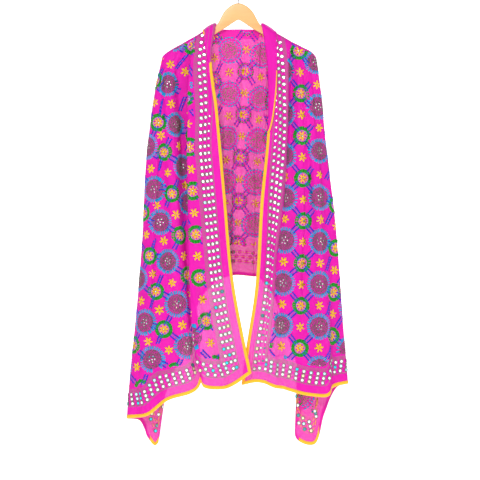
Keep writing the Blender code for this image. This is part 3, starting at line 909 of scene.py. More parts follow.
@dataclass
class MeshBuild:
    """Points, faces and maps gathered before one mesh is made."""

    name: str

    def __post_init__(self) -> None:
        """Start with nothing."""
        self.points: list[Array] = []
        self.faces: list[Array] = []
        self.looks: list[Array] = []
        self.maps: dict[str, list[Array]] = {}
        self.count = 0

    def add(self, points: Array, faces: Array, look: int | Array = 0, **maps: Array) -> None:
        """Add points with faces that count from this batch's first point.

        Args:
            points: (n, 3).
            faces: (m, k) point numbers; each batch has one k.
            look: material index of the faces, one or (m,).
            maps: per-point UV values, (n, 2), by map name.
        """
        self.points.append(points.reshape(-1, 3))
        self.faces.append(faces + self.count)
        self.looks.append(np.broadcast_to(look, len(faces)))
        self.count += len(self.points[-1])
        for key, value in maps.items():
            self.maps.setdefault(key, []).append(value.reshape(-1, 2))

    def add_faces(self, faces: Array, look: int | Array = 0) -> None:
        """Add faces of another size to the last batch, whose points they count from."""
        self.faces.append(faces + self.count - len(self.points[-1]))
        self.looks.append(np.broadcast_to(look, len(faces)))

    def make(self, materials: list[bpy.types.Material], smooth: bool = True) -> bpy.types.Object:
        """Make the object at the origin.

        Args:
            materials: its material slots.
            smooth: whether its faces are smooth-shaded.

        Returns:
            The linked object.
        """
        points = np.concatenate(self.points)
        sizes = np.concatenate([np.full(len(batch), batch.shape[1]) for batch in self.faces])
        corners = np.concatenate([batch.ravel() for batch in self.faces])
        mesh = bpy.data.meshes.new(self.name)
        mesh.vertices.add(len(points))
        mesh.vertices.foreach_set("co", points.ravel().astype(np.float32))
        mesh.loops.add(len(corners))
        mesh.loops.foreach_set("vertex_index", corners.astype(np.int32))
        mesh.polygons.add(len(sizes))
        mesh.polygons.foreach_set("loop_start", (np.cumsum(sizes) - sizes).astype(np.int32))
        mesh.polygons.foreach_set("loop_total", sizes.astype(np.int32))
        mesh.polygons.foreach_set("material_index", np.concatenate(self.looks).astype(np.int32))
        mesh.polygons.foreach_set("use_smooth", np.full(len(sizes), smooth))
        mesh.update(calc_edges=True)
        for key, batches in self.maps.items():
            values = np.concatenate(batches)[corners].astype(np.float32)
            mesh.uv_layers.new(name=key).data.foreach_set("uv", values.ravel())
        for material in materials:
            mesh.materials.append(material)
        made = bpy.data.objects.new(self.name, mesh)
        bpy.context.scene.collection.objects.link(made)
        return made


# ---------------------------------------------------------------- cloth pieces


def closed_shell(
    name: str, points: Array, normals: Array, flip: bool, flat: Array, border: Array
) -> MeshBuild:
    """Give a grid of points a thickness: both faces half a thickness off it, joined at the rim.

    Args:
        name: the piece's name.
        points: the middle surface, (rows, columns, 3).
        normals: its normals; the first material goes on the side that they face.
        flip: whether columns cross rows the other way round.
        flat, border: the two maps of the middle surface, (rows, columns, 2).

    Returns:
        The gathered shell.
    """
    rows, columns = points.shape[:2]
    count = rows * columns
    outer = grid_faces(rows, columns, 0, not flip)
    inner = grid_faces(rows, columns, count, flip)
    index = np.arange(count).reshape(rows, columns)
    rim = np.concatenate([index[0, :-1], index[:-1, -1], index[-1, :0:-1], index[:0:-1, 0]])
    after = np.roll(rim, -1)
    sides = np.stack([rim, after, after + count, rim + count], axis=1)
    sides = sides[:, ::-1] if flip else sides
    looks = np.concatenate([np.zeros(len(outer)), np.ones(len(inner)), np.zeros(len(sides))])
    half = normals * CLOTH_HALF
    both = np.concatenate([points + half, points - half])
    shell = MeshBuild(name)
    faces = np.concatenate([outer, inner, sides])
    shell.add(both, faces, looks, flat=np.stack([flat, flat]), border=np.stack([border, border]))
    return shell


@dataclass
class Panel:
    """One fall of the cloth: a closed thin shell, right side out and wrong side in."""

    name: str
    flat: FlatMap

    def border_map(self) -> Array:
        """Distance to the nearest bound edge and length along it, (rows, columns, 2).

        The gap to the hem is u times the sine of its slant. The gap to a front edge is what the
        flat map's edge_gap says, and the back panel has none.
        """
        drape = self.flat.drape
        span = slice(self.flat.low, self.flat.high + 1)
        hem = self.flat.u * drape.hem_sine[None, span]
        side = np.full_like(hem, FAR)
        if self.flat.first == 0 or self.flat.last == LAST_FOLD:
            side = self.flat.edge_gap(self.flat.v, drape.t[:, None])
        along = np.where(hem < side, drape.bottom_length[None, span], self.flat.u)
        return np.stack([np.minimum(hem, side), along], axis=-1)

    def build(self) -> bpy.types.Object:
        """Make the shell."""
        drape = self.flat.drape
        span = slice(self.flat.low, self.flat.high + 1)
        flat = np.stack([self.flat.v, self.flat.u], axis=-1)
        points, normals = drape.points[:, span], drape.normals[:, span]
        return closed_shell(self.name, points, normals, False, flat, self.border_map()).make([])

    def flat_size(self) -> tuple[float, float, float]:
        """Width of the panel's widest row, its longest drop and its area, in metres."""
        span = slice(self.flat.low, self.flat.high + 1)
        area = grid_area(self.flat.drape.points[:, span])
        length = float(self.flat.drape.drop[span].max())
        widest = float((self.flat.v.max(axis=1) - self.flat.v.min(axis=1)).max())
        width = max(widest, area / length)
        return width, length, area


@dataclass
class TurnOver:
    """An edge of the cloth turned outwards so that it lies on the cloth and shows its wrong side.

    The strip starts on the edge, rolls out over a radius and lies a lift above the cloth. c and t
    are rows of fold numbers and shares that run inwards from the edge, and fullness is the most
    that it stands off. border_from is where its border map starts: below 0 it shows no stitches.
    """

    name: str
    drape: Drape
    c: Array
    t: Array
    radius: float
    fullness: float
    flip: bool
    border_from: float = -1.0

    def __post_init__(self) -> None:
        """Work out the strip's middle surface and its facing."""
        points, normals = self.drape.sample(self.c, self.t)
        run = arc_lengths(points, 1)
        total = np.maximum(run[:, -1:], 1e-4)
        turned = np.clip(run / (math.pi * self.radius), 0, 1) * math.pi
        lift = self.radius * (1 - np.cos(turned))
        share = run / total
        narrow = np.clip(total / 0.030, 0.0, 1.0)
        lift = lift + self.fullness * np.sin(math.pi * np.clip(share, 0, 1)) * narrow
        outwards = unit(points[:, :1] - points[:, 3:4])
        bulge = self.radius * np.sin(turned)
        self.points = points + normals * lift[..., None] + outwards * bulge[..., None]
        facing = np.cross(np.gradient(self.points, axis=1), np.gradient(self.points, axis=0))
        self.normals = unit(-facing if self.flip else facing)
        self.run = run

    def build(self) -> bpy.types.Object:
        """Make the strip as a closed shell whose outer face is the wrong side."""
        flat = np.stack([self.run, arc_lengths(self.points, 0)], axis=-1)
        border = flat + np.array([self.border_from, 0.0])
        return closed_shell(self.name, self.points, self.normals, self.flip, flat, border).make([])

    def area(self) -> float:
        """Area of the strip."""
        return grid_area(self.points)


@dataclass
class Binding:
    """A strip of yellow cloth folded round an edge and stitched through."""

    name: str
    thickness: float = 0.0011

    LAID_LIFT = 0.0008  # how far out a strip lies that doesn't go round the edge
    LAID_FOOT = 0.0002  # how far that strip's underside reaches back towards the cloth

    def build(
        self, points: Array, normals: Array, wraps: bool = True, made: MeshBuild | None = None
    ) -> MeshBuild:
        """Sweep the strip's section along an edge.

        Args:
            points: cloth points from the edge inwards, (n, m, 3).
            normals: their normals.
            wraps: whether the strip goes round the edge, or lies on the outside only.
            made: the mesh that this run joins, or none for a new one.

        Returns:
            The gathered mesh, so that other runs can join it.
        """
        count, across = points.shape[:2]
        puff = self.thickness * (0.75 + 0.5 * np.sin(np.linspace(0, math.pi, across)) ** 0.5)
        outwards = unit(points[:, 0] - points[:, -1])
        base = points + normals * (0.0 if wraps else self.LAID_LIFT)
        top = base + normals * puff[None, :, None]
        low = base - normals * (puff[None, :, None] if wraps else self.LAID_FOOT)
        rim = base[:, :1] + (outwards * self.thickness)[:, None]
        ring = np.concatenate([rim, top, low[:, ::-1]], axis=1)
        size = ring.shape[1]
        handed = np.cross(points[1:, 0] - points[:-1, 0], points[1:, -1] - points[1:, 0])
        flip = float((handed * normals[1:, 0]).sum()) < 0
        along = arc_lengths(points[:, :1], 0)
        out, back = np.linspace(0.0005, 0.008, across), np.linspace(0.008, 0.0005, across)
        width = np.concatenate([[0.0], out, back])
        strip = np.stack(np.broadcast_arrays(along, width[None]), axis=-1)
        made = made or MeshBuild(self.name)
        turn = slice(None) if flip else slice(None, None, -1)
        made.add(ring, loop_faces(count, size)[:, turn], 0, strip=strip)
        cap = np.arange(size)[None]
        made.add(ring[:1], cap[:, ::-1][:, turn], 0, strip=strip[:1])
        made.add(ring[-1:], cap[:, turn], 0, strip=strip[-1:])
        return made


# ---------------------------------------------------------------- embroidery


@dataclass
class Stitches:
    """Straight stitches gathered as fold numbers and shares, then laid as raised threads."""

    flat: FlatMap
    side: Side

    RIDGE = (0.22, 0.78)  # shares of a stitch between which its ridge runs
    FOOT, CREST = 0.00010, 0.00085  # heights of its foot and its ridge over the cloth
    WIDEST_RUN = 1.2  # fold numbers: a stitch that spans more would leave the cloth

    def __post_init__(self) -> None:
        """Start with no stitches."""
        self.rows: list[Array] = []

    def add(self, start: Array, end: Array, width: float, tone: Tone) -> None:
        """Add stitches.

        Args:
            start, end: (n, 2) as fold numbers and shares of the drop.
            width: thread width.
            tone: thread colour.
        """
        extra = np.tile([width, list(Tone).index(tone)], (len(start), 1))
        self.rows.append(np.hstack([start, end, extra]))

    def add_flat(self, start: Array, end: Array, width: float, tone: Tone) -> None:
        """Add stitches between flat places, (n, 2) as v and u."""
        ends = [np.stack(self.flat.locate(*places.T), axis=1) for places in (start, end)]
        self.add(ends[0], ends[1], width, tone)

    def build(self, made: MeshBuild) -> None:
        """Lay every stitch as a closed ridge with a rectangular foot.

        The foot's four corners lie on the cloth at the stitch's ends, and the ridge's two points
        stand over the cloth at the shares in RIDGE.
        """
        rows = np.concatenate(self.rows)
        start = rows[:, 0:2]
        run = rows[:, 2:4] - start
        shares = np.array([0.0, *self.RIDGE, 1.0])
        places = start[:, None] + run[:, None] * shares[None, :, None]
        c, t = places[..., 0], places[..., 1]
        good = self.flat.inside(c, t).all(axis=1) & (np.ptp(c, axis=1) < self.WIDEST_RUN)
        c, t, rows = c[good], t[good], rows[good]
        points, normals = self.flat.drape.sample(c, t)
        normals = normals * self.side.value
        along = unit(points[:, 3] - points[:, 0])
        width = rows[:, 4:5]
        side = unit(np.cross(normals[:, 1], along)) * width / 2
        foot = normals * (CLOTH_HALF + self.FOOT)
        crest = normals * (CLOTH_HALF + self.CREST)
        ring = np.stack(
            [
                points[:, 0] + foot[:, 0] - side,
                points[:, 0] + foot[:, 0] + side,
                points[:, 3] + foot[:, 3] + side,
                points[:, 3] + foot[:, 3] - side,
                points[:, 1] + crest[:, 1],
                points[:, 2] + crest[:, 2],
            ],
            axis=1,
        )
        count = len(ring)
        base = np.arange(count)[:, None, None] * 6
        quads = np.array([[0, 3, 2, 1], [1, 2, 5, 4], [3, 0, 4, 5]])
        ends = np.array([[0, 1, 4], [2, 3, 5]])
        length = np.linalg.norm(points[:, 3] - points[:, 0], axis=1)
        ids = (np.arange(count) * 0.0173) % 5.0
        zero = np.zeros(count)
        across = np.array([-1.0, 1.0, 1.0, -1.0, 0.0, 0.0]) * 0.0006
        low, high = (length * share for share in self.RIDGE)
        x = np.stack([zero, zero, length, length, low, high], axis=1) + ids[:, None]
        uv = np.stack([x, np.broadcast_to(across, x.shape) + ids[:, None]], axis=-1)
        look = rows[:, 5].astype(int)
        made.add(ring, (base + quads).reshape(-1, 4), np.repeat(look, 3), stitch=uv)
        made.add_faces((base + ends).reshape(-1, 3), np.repeat(look, 2))


GOLDEN_ANGLE = 2.39996  # radians between neighbours in sunflower order


def on_circle(count: int, radius: float, phase: float = 0.0) -> Array:
    """Evenly spread places on a circle, (count, 2)."""
    angle = 2 * math.pi * (np.arange(count) + phase) / count
    return np.stack([np.cos(angle), np.sin(angle)], axis=1) * radius


@dataclass
class Motif:
    """A motif's stitches about its own centre: start, end, width and tone of each, in metres."""

    def __post_init__(self) -> None:
        """Start empty."""
        self.parts: list[tuple[Array, Array, float, Tone]] = []
        self.discs: Array = np.zeros((0, 2))

    def spokes(
        self, count: int, inner: float, outer: float, width: float, tone: Tone, phase: float = 0.0
    ) -> None:
        """Add stitches that point away from the centre."""
        self.parts.append((on_circle(count, inner, phase), on_circle(count, outer, phase), width, tone))

    def ring(self, count: int, radius: float, width: float, tone: Tone, fill: float = 0.8) -> None:
        """Add a ring of dashes."""
        self.parts.append((on_circle(count, radius), on_circle(count, radius, fill), width, tone))

    def seeds(self, count: int, radius: float, length: float, width: float, tone: Tone) -> None:
        """Fill a disc with short stitches in sunflower order, at turning angles."""
        number = np.arange(count) + 0.5
        place = radius * np.sqrt(number / count)
        angle = number * GOLDEN_ANGLE
        centre = np.stack([np.cos(angle), np.sin(angle)], axis=1) * place[:, None]
        lean = angle + 1.57 + 0.5 * np.sin(number * 1.7)
        half = np.stack([np.cos(lean), np.sin(lean)], axis=1) * length / 2
        self.parts.append((centre - half, centre + half, width, tone))


def medallion() -> Motif:
    """The large round: a stippled middle within radial sky-blue stitches."""
    made = Motif()
    made.spokes(31, 0.0262, 0.0360, 0.0048, Tone.SKY)
    made.ring(30, 0.0250, 0.0017, Tone.OLIVE)
    made.seeds(125, 0.0234, 0.0040, 0.0021, Tone.OLIVE)
    made.discs = np.concatenate([np.zeros((1, 2)), on_circle(5, 0.0085, 0.2)])
    return made


def small_round() -> Motif:
    """The small round: radial green stitches, a lilac ring and a golden star."""
    made = Motif()
    made.spokes(18, 0.0155, 0.0252, 0.0083, Tone.LEAF)
    made.ring(14, 0.0140, 0.0028, Tone.LILAC)
    for shift in (-0.09, 0.09):
        made.spokes(7, 0.0026, 0.0124, 0.0034, Tone.GOLD, shift)
    made.discs = np.zeros((1, 2))
    return made


def asterisk() -> Motif:
    """Six plump golden arms."""
    made = Motif()
    for shift in (-0.10, 0.0, 0.10):
        made.spokes(6, 0.0016, 0.0130 - 0.02 * abs(shift), 0.0037, Tone.GOLD, shift)
    return made


def reverse_medallion() -> Motif:
    """The wrong side of the large round: two broken rings and seeds."""
    made = Motif()
    made.ring(24, 0.0345, 0.0038, Tone.SKY, 0.62)
    made.ring(20, 0.0258, 0.0032, Tone.SKY, 0.55)
    made.seeds(46, 0.0215, 0.0036, 0.0022, Tone.LEAF)
    return made


def reverse_round() -> Motif:
    """The wrong side of the small round."""
    made = Motif()
    made.ring(18, 0.0222, 0.0036, Tone.LEAF, 0.55)
    made.ring(12, 0.0150, 0.0030, Tone.SKY, 0.5)
    made.spokes(6, 0.0030, 0.0120, 0.0038, Tone.GOLD)
    return made


def reverse_asterisk() -> Motif:
    """The wrong side of the asterisk: broken arms."""
    made = Motif()
    made.spokes(6, 0.0036, 0.0120, 0.0036, Tone.GOLD)
    made.spokes(3, 0.0010, 0.0050, 0.0030, Tone.GOLD, 0.4)
    return made


@dataclass(frozen=True)
class Phase:
    """One stretch of lattice, between two fold numbers and measured from a third.

    corner, across and up are a corner and two steps in cells of v and u. The field of motifs
    starts v_from in from a front edge and u_from up from the hem, in metres.
    """

    first: float
    last: float
    origin: float
    corner: tuple[float, float]
    across: tuple[float, float]
    up: tuple[float, float]
    v_from: float = 0.080
    u_from: float = 0.082


class Spot(Enum):
    """Where a motif stands in a cell: its shares across and up, and its radius with a margin."""

    CORNER = (0.0, 0.0, 0.036)
    MIDDLE = (0.5, 0.5, 0.026)
    BESIDE = (0.5, 0.0, 0.013)
    ABOVE = (0.0, 0.5, 0.0131)


@dataclass
class Lattice:
    """The field of motifs on one panel: rounds at the corners and middles of square cells,
    asterisks between them and broken blue links along the cells' diagonals.
    """

    flat: FlatMap
    phase: Phase
    border: FlatMap
    taken: list[tuple[Array, Array, float]]

    # How a centre keeps clear of other stretches' motifs. Those of its own aren't looked at, so
    # where the folds squeeze the lattice they may lie over each other.
    NEAR_FOLDS = 1.5  # fold numbers within which a motif counts as near
    CLEARANCE = 0.85  # least distance between the centres, as a share of both radii
    MOST_TWIST = 0.25  # radians that a motif may be turned by

    def __post_init__(self) -> None:
        """Choose the centres on this stretch that stay clear of the stretches laid before it."""
        before = list(self.taken)
        self.chosen: dict[Spot, tuple[Array, Array, Array]] = {}
        for spot in Spot:
            shift_v, shift_u, radius = spot.value
            grid = self.cells(shift_v, shift_u)
            c, t = self.flat.locate(grid[:, 0], grid[:, 1])
            keep = (c > self.flat.first + 0.01) & (c < self.flat.last - 0.01)
            keep &= (t > -0.03) & (t < 1.03)
            keep &= (c >= self.phase.first) & (c < self.phase.last)
            points, _ = self.flat.drape.sample(c, np.clip(t, 0, 1))
            for folds, others, reach in before:
                gap = np.linalg.norm(points[:, None] - others[None], axis=2)
                gap[np.abs(c[:, None] - folds[None]) > self.NEAR_FOLDS] = FAR
                keep &= gap.min(axis=1, initial=FAR) > (radius + reach) * self.CLEARANCE
            self.chosen[spot] = (c[keep], t[keep], grid[keep])
            self.taken.append((c[keep], points[keep], radius))

    def cells(self, shift_v: float, shift_u: float) -> Array:
        """Centres at a share of the cell from the lattice corners, (n, 2), over the whole panel."""
        columns, rows = np.meshgrid(np.arange(-12, 13) + shift_v, np.arange(-9, 13) + shift_u)
        steps = columns[..., None] * np.array(self.phase.across) + rows[..., None] * np.array(self.phase.up)
        grid = ((steps + np.array(self.phase.corner)) * MOTIF_CELL).reshape(-1, 2)
        keep = (grid[:, 0] > self.flat.v_low - 0.04) & (grid[:, 0] < self.flat.v_high + 0.04)
        return grid[keep & (grid[:, 1] < 1.25) & (grid[:, 1] > -0.04)]

    def place(self, motif: Motif, spot: Spot, threads: Stitches, jitter: float) -> Array:
        """Put a motif at every centre and return its mirrors as fold numbers and shares.

        Every end of a stitch is reached by walking over the cloth from the centre, each motif
        turned a little and scaled a little at random.
        """
        c, t, _ = self.chosen[spot]
        rng = np.random.default_rng(len(c) * 7 + int(jitter * 1e5))
        turned = rng.uniform(-self.MOST_TWIST, self.MOST_TWIST, len(c))
        size = rng.uniform(0.95, 1.05, len(c))

        def spread(offsets: Array) -> Array:
            """Places of one motif's offsets about every centre, (centres * n, 2)."""
            shape = (len(c), len(offsets))
            loose = offsets[None] + rng.normal(0, jitter, (*shape, 2))
            angle = np.arctan2(loose[..., 1], loose[..., 0]) + turned[:, None]
            reach = np.hypot(loose[..., 0], loose[..., 1]) * size[:, None]
            start_c = np.broadcast_to(c[:, None], shape)
            start_t = np.broadcast_to(t[:, None], shape)
            found = self.flat.drape.walk(start_c, start_t, angle, reach, self.flat.turn)
            return np.stack(found, axis=-1).reshape(-1, 2)

        for start, end, width, tone in motif.parts:
            first = spread(start)
            second = spread(end)
            keep = self.field(first) & self.field(second)
            threads.add(first[keep], second[keep], width, tone)
        discs = spread(motif.discs)
        return discs[self.field(discs) & self.flat.inside(*discs.T)]

    def field(self, places: Array) -> Array:
        """Whether places, as fold numbers and shares, lie clear of the borders."""
        c, t = places[..., 0], np.clip(places[..., 1], 0, 1)
        drape = self.flat.drape
        rise = (1 - t) * np.interp(c, drape.c, drape.drop * drape.hem_sine)
        gap = self.border.edge_gap(self.border.v_of(c, t), t)
        return (gap > self.phase.v_from) & (rise > self.phase.u_from)

    def diagonals(self) -> list[tuple[Array, Array]]:
        """Unit vectors from a corner towards its four small rounds, each with the one beside it."""
        found = []
        for sv, su in ((1, 1), (1, -1), (-1, 1), (-1, -1)):
            way = unit(sv * np.array(self.phase.across) + su * np.array(self.phase.up))
            found.append((way, np.array([-way[1], way[0]])))
        return found

    def add_clear(self, threads: Stitches, start: Array, end: Array, width: float, tone: Tone) -> None:
        """Add those stitches between flat places that lie clear of the borders."""
        first, second = (np.stack(self.flat.locate(*places.T), axis=1) for places in (start, end))
        keep = self.field(first) & self.field(second)
        threads.add(first[keep], second[keep], width, tone)

    def links(self, threads: Stitches) -> None:
        """Lay the blue links: two chains of slanting stitches with paler chevrons between."""
        corners = self.chosen[Spot.CORNER][2]
        rng = np.random.default_rng(5)
        for way, beside in self.diagonals():
            for number in range(5):
                centre = corners + way * (0.0385 + 0.0056 * number)
                for hand in (-1, 1):
                    outer = centre + beside * hand * 0.0060
                    start = outer - way * 0.0030
                    end = outer + way * 0.0030 - beside * hand * 0.0016
                    start = start + rng.normal(0, 0.0006, start.shape)
                    self.add_clear(threads, start, end, 0.0038, Tone.ROYAL)
                tip = centre + way * 0.0024
                for hand in (-1, 1):
                    tail = centre - way * 0.0010 + beside * hand * 0.0036
                    self.add_clear(threads, tip, tail, 0.0015, Tone.AZURE)

    def reverse_links(self, threads: Stitches) -> None:
        """Lay the links' wrong side: two lines of short stitches."""
        corners = self.chosen[Spot.CORNER][2]
        for way, beside in self.diagonals():
            for number in range(4):
                for hand in (-1, 1):
                    start = corners + way * (0.0390 + 0.0068 * number) + beside * hand * 0.0055
                    self.add_clear(threads, start, start + way * 0.0042, 0.0036, Tone.ROYAL)

    def right_side(self, threads: Stitches) -> Array:
        """Lay the field's right side and return its mirrors."""
        discs = [
            self.place(medallion(), Spot.CORNER, threads, 0.0005),
            self.place(small_round(), Spot.MIDDLE, threads, 0.0004),
        ]
        for spot in (Spot.BESIDE, Spot.ABOVE):
            self.place(asterisk(), spot, threads, 0.0003)
        self.links(threads)
        return np.concatenate(discs)

    def wrong_side(self, threads: Stitches) -> None:
        """Lay the broken stitches of the field's wrong side."""
        self.place(reverse_medallion(), Spot.CORNER, threads, 0.0009)
        self.place(reverse_round(), Spot.MIDDLE, threads, 0.0008)
        for spot in (Spot.BESIDE, Spot.ABOVE):
            self.place(reverse_asterisk(), spot, threads, 0.0007)
        self.reverse_links(threads)


@dataclass
class MirrorRows:
    """Three rows of foil mirrors that follow the bound edges of one panel."""

    flat: FlatMap
    front_edge: bool

    def places(self) -> tuple[Array, Array, Array]:
        """Fold numbers, shares of the drop and sizes of the border's mirrors."""
        drape = self.flat.drape
        first, last = self.flat.first, self.flat.last
        along = np.interp([first, last], drape.c, drape.bottom_length)
        found: list[tuple[Array, Array, Array]] = []
        for number, gap in enumerate(MIRROR_ROWS):
            shift = MIRROR_PITCH * (0.5 if number == 1 else 0.0)
            start = gap + MIRROR_PITCH * 0.6 if self.front_edge else MIRROR_PITCH / 2
            length = along[1] - along[0]
            steps = np.arange(start + shift, length, MIRROR_PITCH)
            if self.front_edge and self.flat.turn < 0:
                steps = length - steps
            c = np.interp(along[0] + steps, drape.bottom_length, drape.c)
            rise = gap / np.interp(c, drape.c, drape.hem_sine)
            found.append((c, 1 - rise / np.interp(c, drape.c, drape.drop), np.ones_like(c)))
            if self.front_edge:
                edge = self.flat.low if self.flat.turn > 0 else self.flat.high
                u = np.arange(gap + shift, drape.drop[edge] - 0.012, MIRROR_PITCH)
                t = 1 - u / drape.drop[edge]
                spread, taken = self.flat.border_fit(t)
                v = gap * spread - taken
                size = np.ones_like(t)
                if self.flat.turn < 0 and number > 0:
                    size = 1 - 0.45 * smoothstep(0.45, 0.66, t)
                if number == 0:
                    size = 0.55 + 0.45 * smoothstep(0.24, 0.40, t)
                    if self.flat.turn > 0:
                        size = size * (t > 0.24)
                found.append((self.flat.column_at(v, t), t, size))
        return tuple(np.concatenate([part[k] for part in found]) for k in range(3))

    def reverse(self, threads: Stitches) -> None:
        """Lay the orange dashes that the rows show on the wrong side."""
        drape = self.flat.drape
        for gap in MIRROR_ROWS:
            along = np.interp([self.flat.first, self.flat.last], drape.c, drape.bottom_length)
            steps = np.arange(along[0] + 0.004, along[1] - 0.006, 0.0078)
            c = np.interp(steps, drape.bottom_length, drape.c)
            after = np.interp(steps + 0.0052, drape.bottom_length, drape.c)
            ends = []
            for column in (c, after):
                rise = gap / np.interp(column, drape.c, drape.hem_sine)
                share = 1 - rise / np.interp(column, drape.c, drape.drop)
                v = self.flat.v_of(column, share)
                ends.append(np.stack([v, rise], axis=1))
            threads.add_flat(ends[0], ends[1], 0.0022, Tone.ORANGE)
            if self.front_edge:
                u = np.arange(gap, drape.drop[self.flat.low] - 0.02, 0.0078)
                start = np.stack([np.full_like(u, gap), u], axis=1)
                threads.add_flat(start, start + np.array([0.0, 0.0052]), 0.0022, Tone.ORANGE)


@dataclass
class Mirrors:
    """Foil discs, each held by a raised ring of thread."""

    drape: Drape
    radius: float = MIRROR_RADIUS
    sides: int = 10

    # Reach in radii and height over the cloth of each ring, from the thread's foot inwards.
    PROFILE = ((1.30, -0.0002), (1.22, 0.0008), (1.02, 0.0011), (0.90, 0.0007), (0.50, 0.0012))
    DOME = 0.0014  # height of the disc's middle

    def build(self, made: MeshBuild, c: Array, t: Array, seed: int, scale: float | Array = 1.0,
              face: Side = Side.RIGHT) -> None:
        """Add a disc and its ring at each place.

        Args:
            made: the mesh to add to; material 0 is foil and 1 thread.
            c, t: fold numbers and shares of the drop.
            seed: for the foils' tints.
            scale: size against the border's mirrors.
            face: the side of the cloth they lie on.
        """
        scale = np.broadcast_to(scale, c.shape)
        keep = (t > 0.012) & (t < 0.998) & (scale > 0.1)
        c, t, scale = c[keep], t[keep], scale[keep]
        points, normals = self.drape.sample(c, t)
        normals = normals * face.value
        rng = np.random.default_rng(seed)
        across = unit(np.cross(normals, np.array([0.0, 0.31, 0.95])))
        up = np.cross(normals, across)
        around = on_circle(self.sides, 1.0)
        spoke = across[:, None] * around[None, :, :1] + up[:, None] * around[None, :, 1:]
        middle = points[:, None]
        out = normals[:, None]
        r = (self.radius * scale)[:, None, None]
        rings = []
        for reach, lift in self.PROFILE:
            rings.append(middle + spoke * (r * reach) + out * (CLOTH_HALF + lift))
        rings.append(np.broadcast_to(middle + out * (CLOTH_HALF + self.DOME), rings[0][:, :1].shape))
        shape = np.concatenate(rings, axis=1)
        size = shape.shape[1]
        base = np.arange(len(shape))[:, None, None] * size
        bands = loop_faces(5, self.sides)
        tinge = rng.uniform(0, 1, len(shape)) * (0.72 + 0.28 * smoothstep(0.55, 0.75, t))
        tint = np.repeat(tinge[:, None, None], size, axis=1) * np.array([1.0, 0.0])
        looks = np.repeat([1, 1, 1, 0], self.sides)
        quads = (base + bands).reshape(-1, 4)
        made.add(shape, quads, np.tile(looks, len(shape)), disc=tint, stitch=tint + shape[..., :2])
        last = np.arange(self.sides) + 4 * self.sides
        cap = np.stack([last, np.roll(last, -1), np.full(self.sides, 5 * self.sides)], axis=1)
        made.add_faces((base + cap).reshape(-1, 3))
        foot = np.arange(self.sides)[::-1][None]
        made.add_faces((base + foot).reshape(-1, self.sides), 1)


# ---------------------------------------------------------------- hanger and studio


@dataclass(frozen=True)
class Station:
    """One cut through half the wooden hanger, in millimetres from its middle."""

    x: float
    top: float
    bottom: float
    half_depth: float


STATIONS_OF_WOOD = (
    Station(0, -75.0, -121.0, 5.0),
    Station(9, -76.5, -125.5, 5.0),
    Station(18, -80.5, -131.0, 5.0),
    Station(27, -86.5, -137.5, 5.0),
    Station(35, -94.0, -142.5, 5.0),
    Station(42, -103.0, -147.0, 5.0),
    Station(48, -114.0, -150.5, 5.0),
    Station(54, -125.5, -154.0, 5.0),
    Station(59, -133.5, -157.0, 5.0),
    Station(66, -139.0, -161.0, 5.0),
    Station(92, -154.5, -176.0, 5.0),
    Station(120, -172.0, -192.0, 5.0),
    Station(150, -189.0, -209.0, 5.0),
    Station(176, -203.0, -222.0, 5.0),
    Station(186, -209.5, -227.0, 4.6),
    Station(194, -216.5, -229.5, 3.8),
    Station(199, -221.5, -228.5, 2.4),
)


@dataclass
class WoodBody:
    """The flat wooden hanger: a low dome with two sloping arms, its edges rounded over."""

    rounding: float = 3.6
    cuts: int = 181
    arc: int = 6

    def build(self) -> bpy.types.Object:
        """Loft a rounded rectangle along X through the stations."""
        table = np.array([(s.x, s.top, s.bottom, s.half_depth) for s in STATIONS_OF_WOOD])
        both = np.concatenate([table[:0:-1] * np.array([-1, 1, 1, 1]), table])
        spread = np.linspace(-1, 1, self.cuts)
        x = np.sign(spread) * np.abs(spread) ** 0.9 * 199
        shape = hermite(both[None, :, 0], both[None, :, 1:], x[None])[0]
        top, bottom, half = shape.T
        soft = np.minimum(np.minimum(self.rounding, 0.85 * half), (top - bottom) * 0.45)
        angle = np.linspace(0, math.pi / 2, self.arc + 1)
        parts = []
        for sy, sz, turn in ((1, -1, 3), (1, 1, 0), (-1, 1, 1), (-1, -1, 2)):
            centre_y = sy * (half - soft)
            centre_z = np.where(sz > 0, top - soft, bottom + soft)
            theta = angle + turn * math.pi / 2
            y = centre_y[:, None] + soft[:, None] * np.cos(theta)
            z = centre_z[:, None] + soft[:, None] * np.sin(theta)
            parts.append(np.stack([np.broadcast_to(x[:, None], y.shape), y, z], axis=-1))
        rings = np.concatenate(parts, axis=1) * MM
        size = rings.shape[1]
        made = MeshBuild("wooden_hanger")
        made.add(rings, loop_faces(self.cuts, size))
        made.add(rings[0], np.arange(size)[None, ::-1])
        made.add(rings[-1], np.arange(size)[None])
        return made.make([])


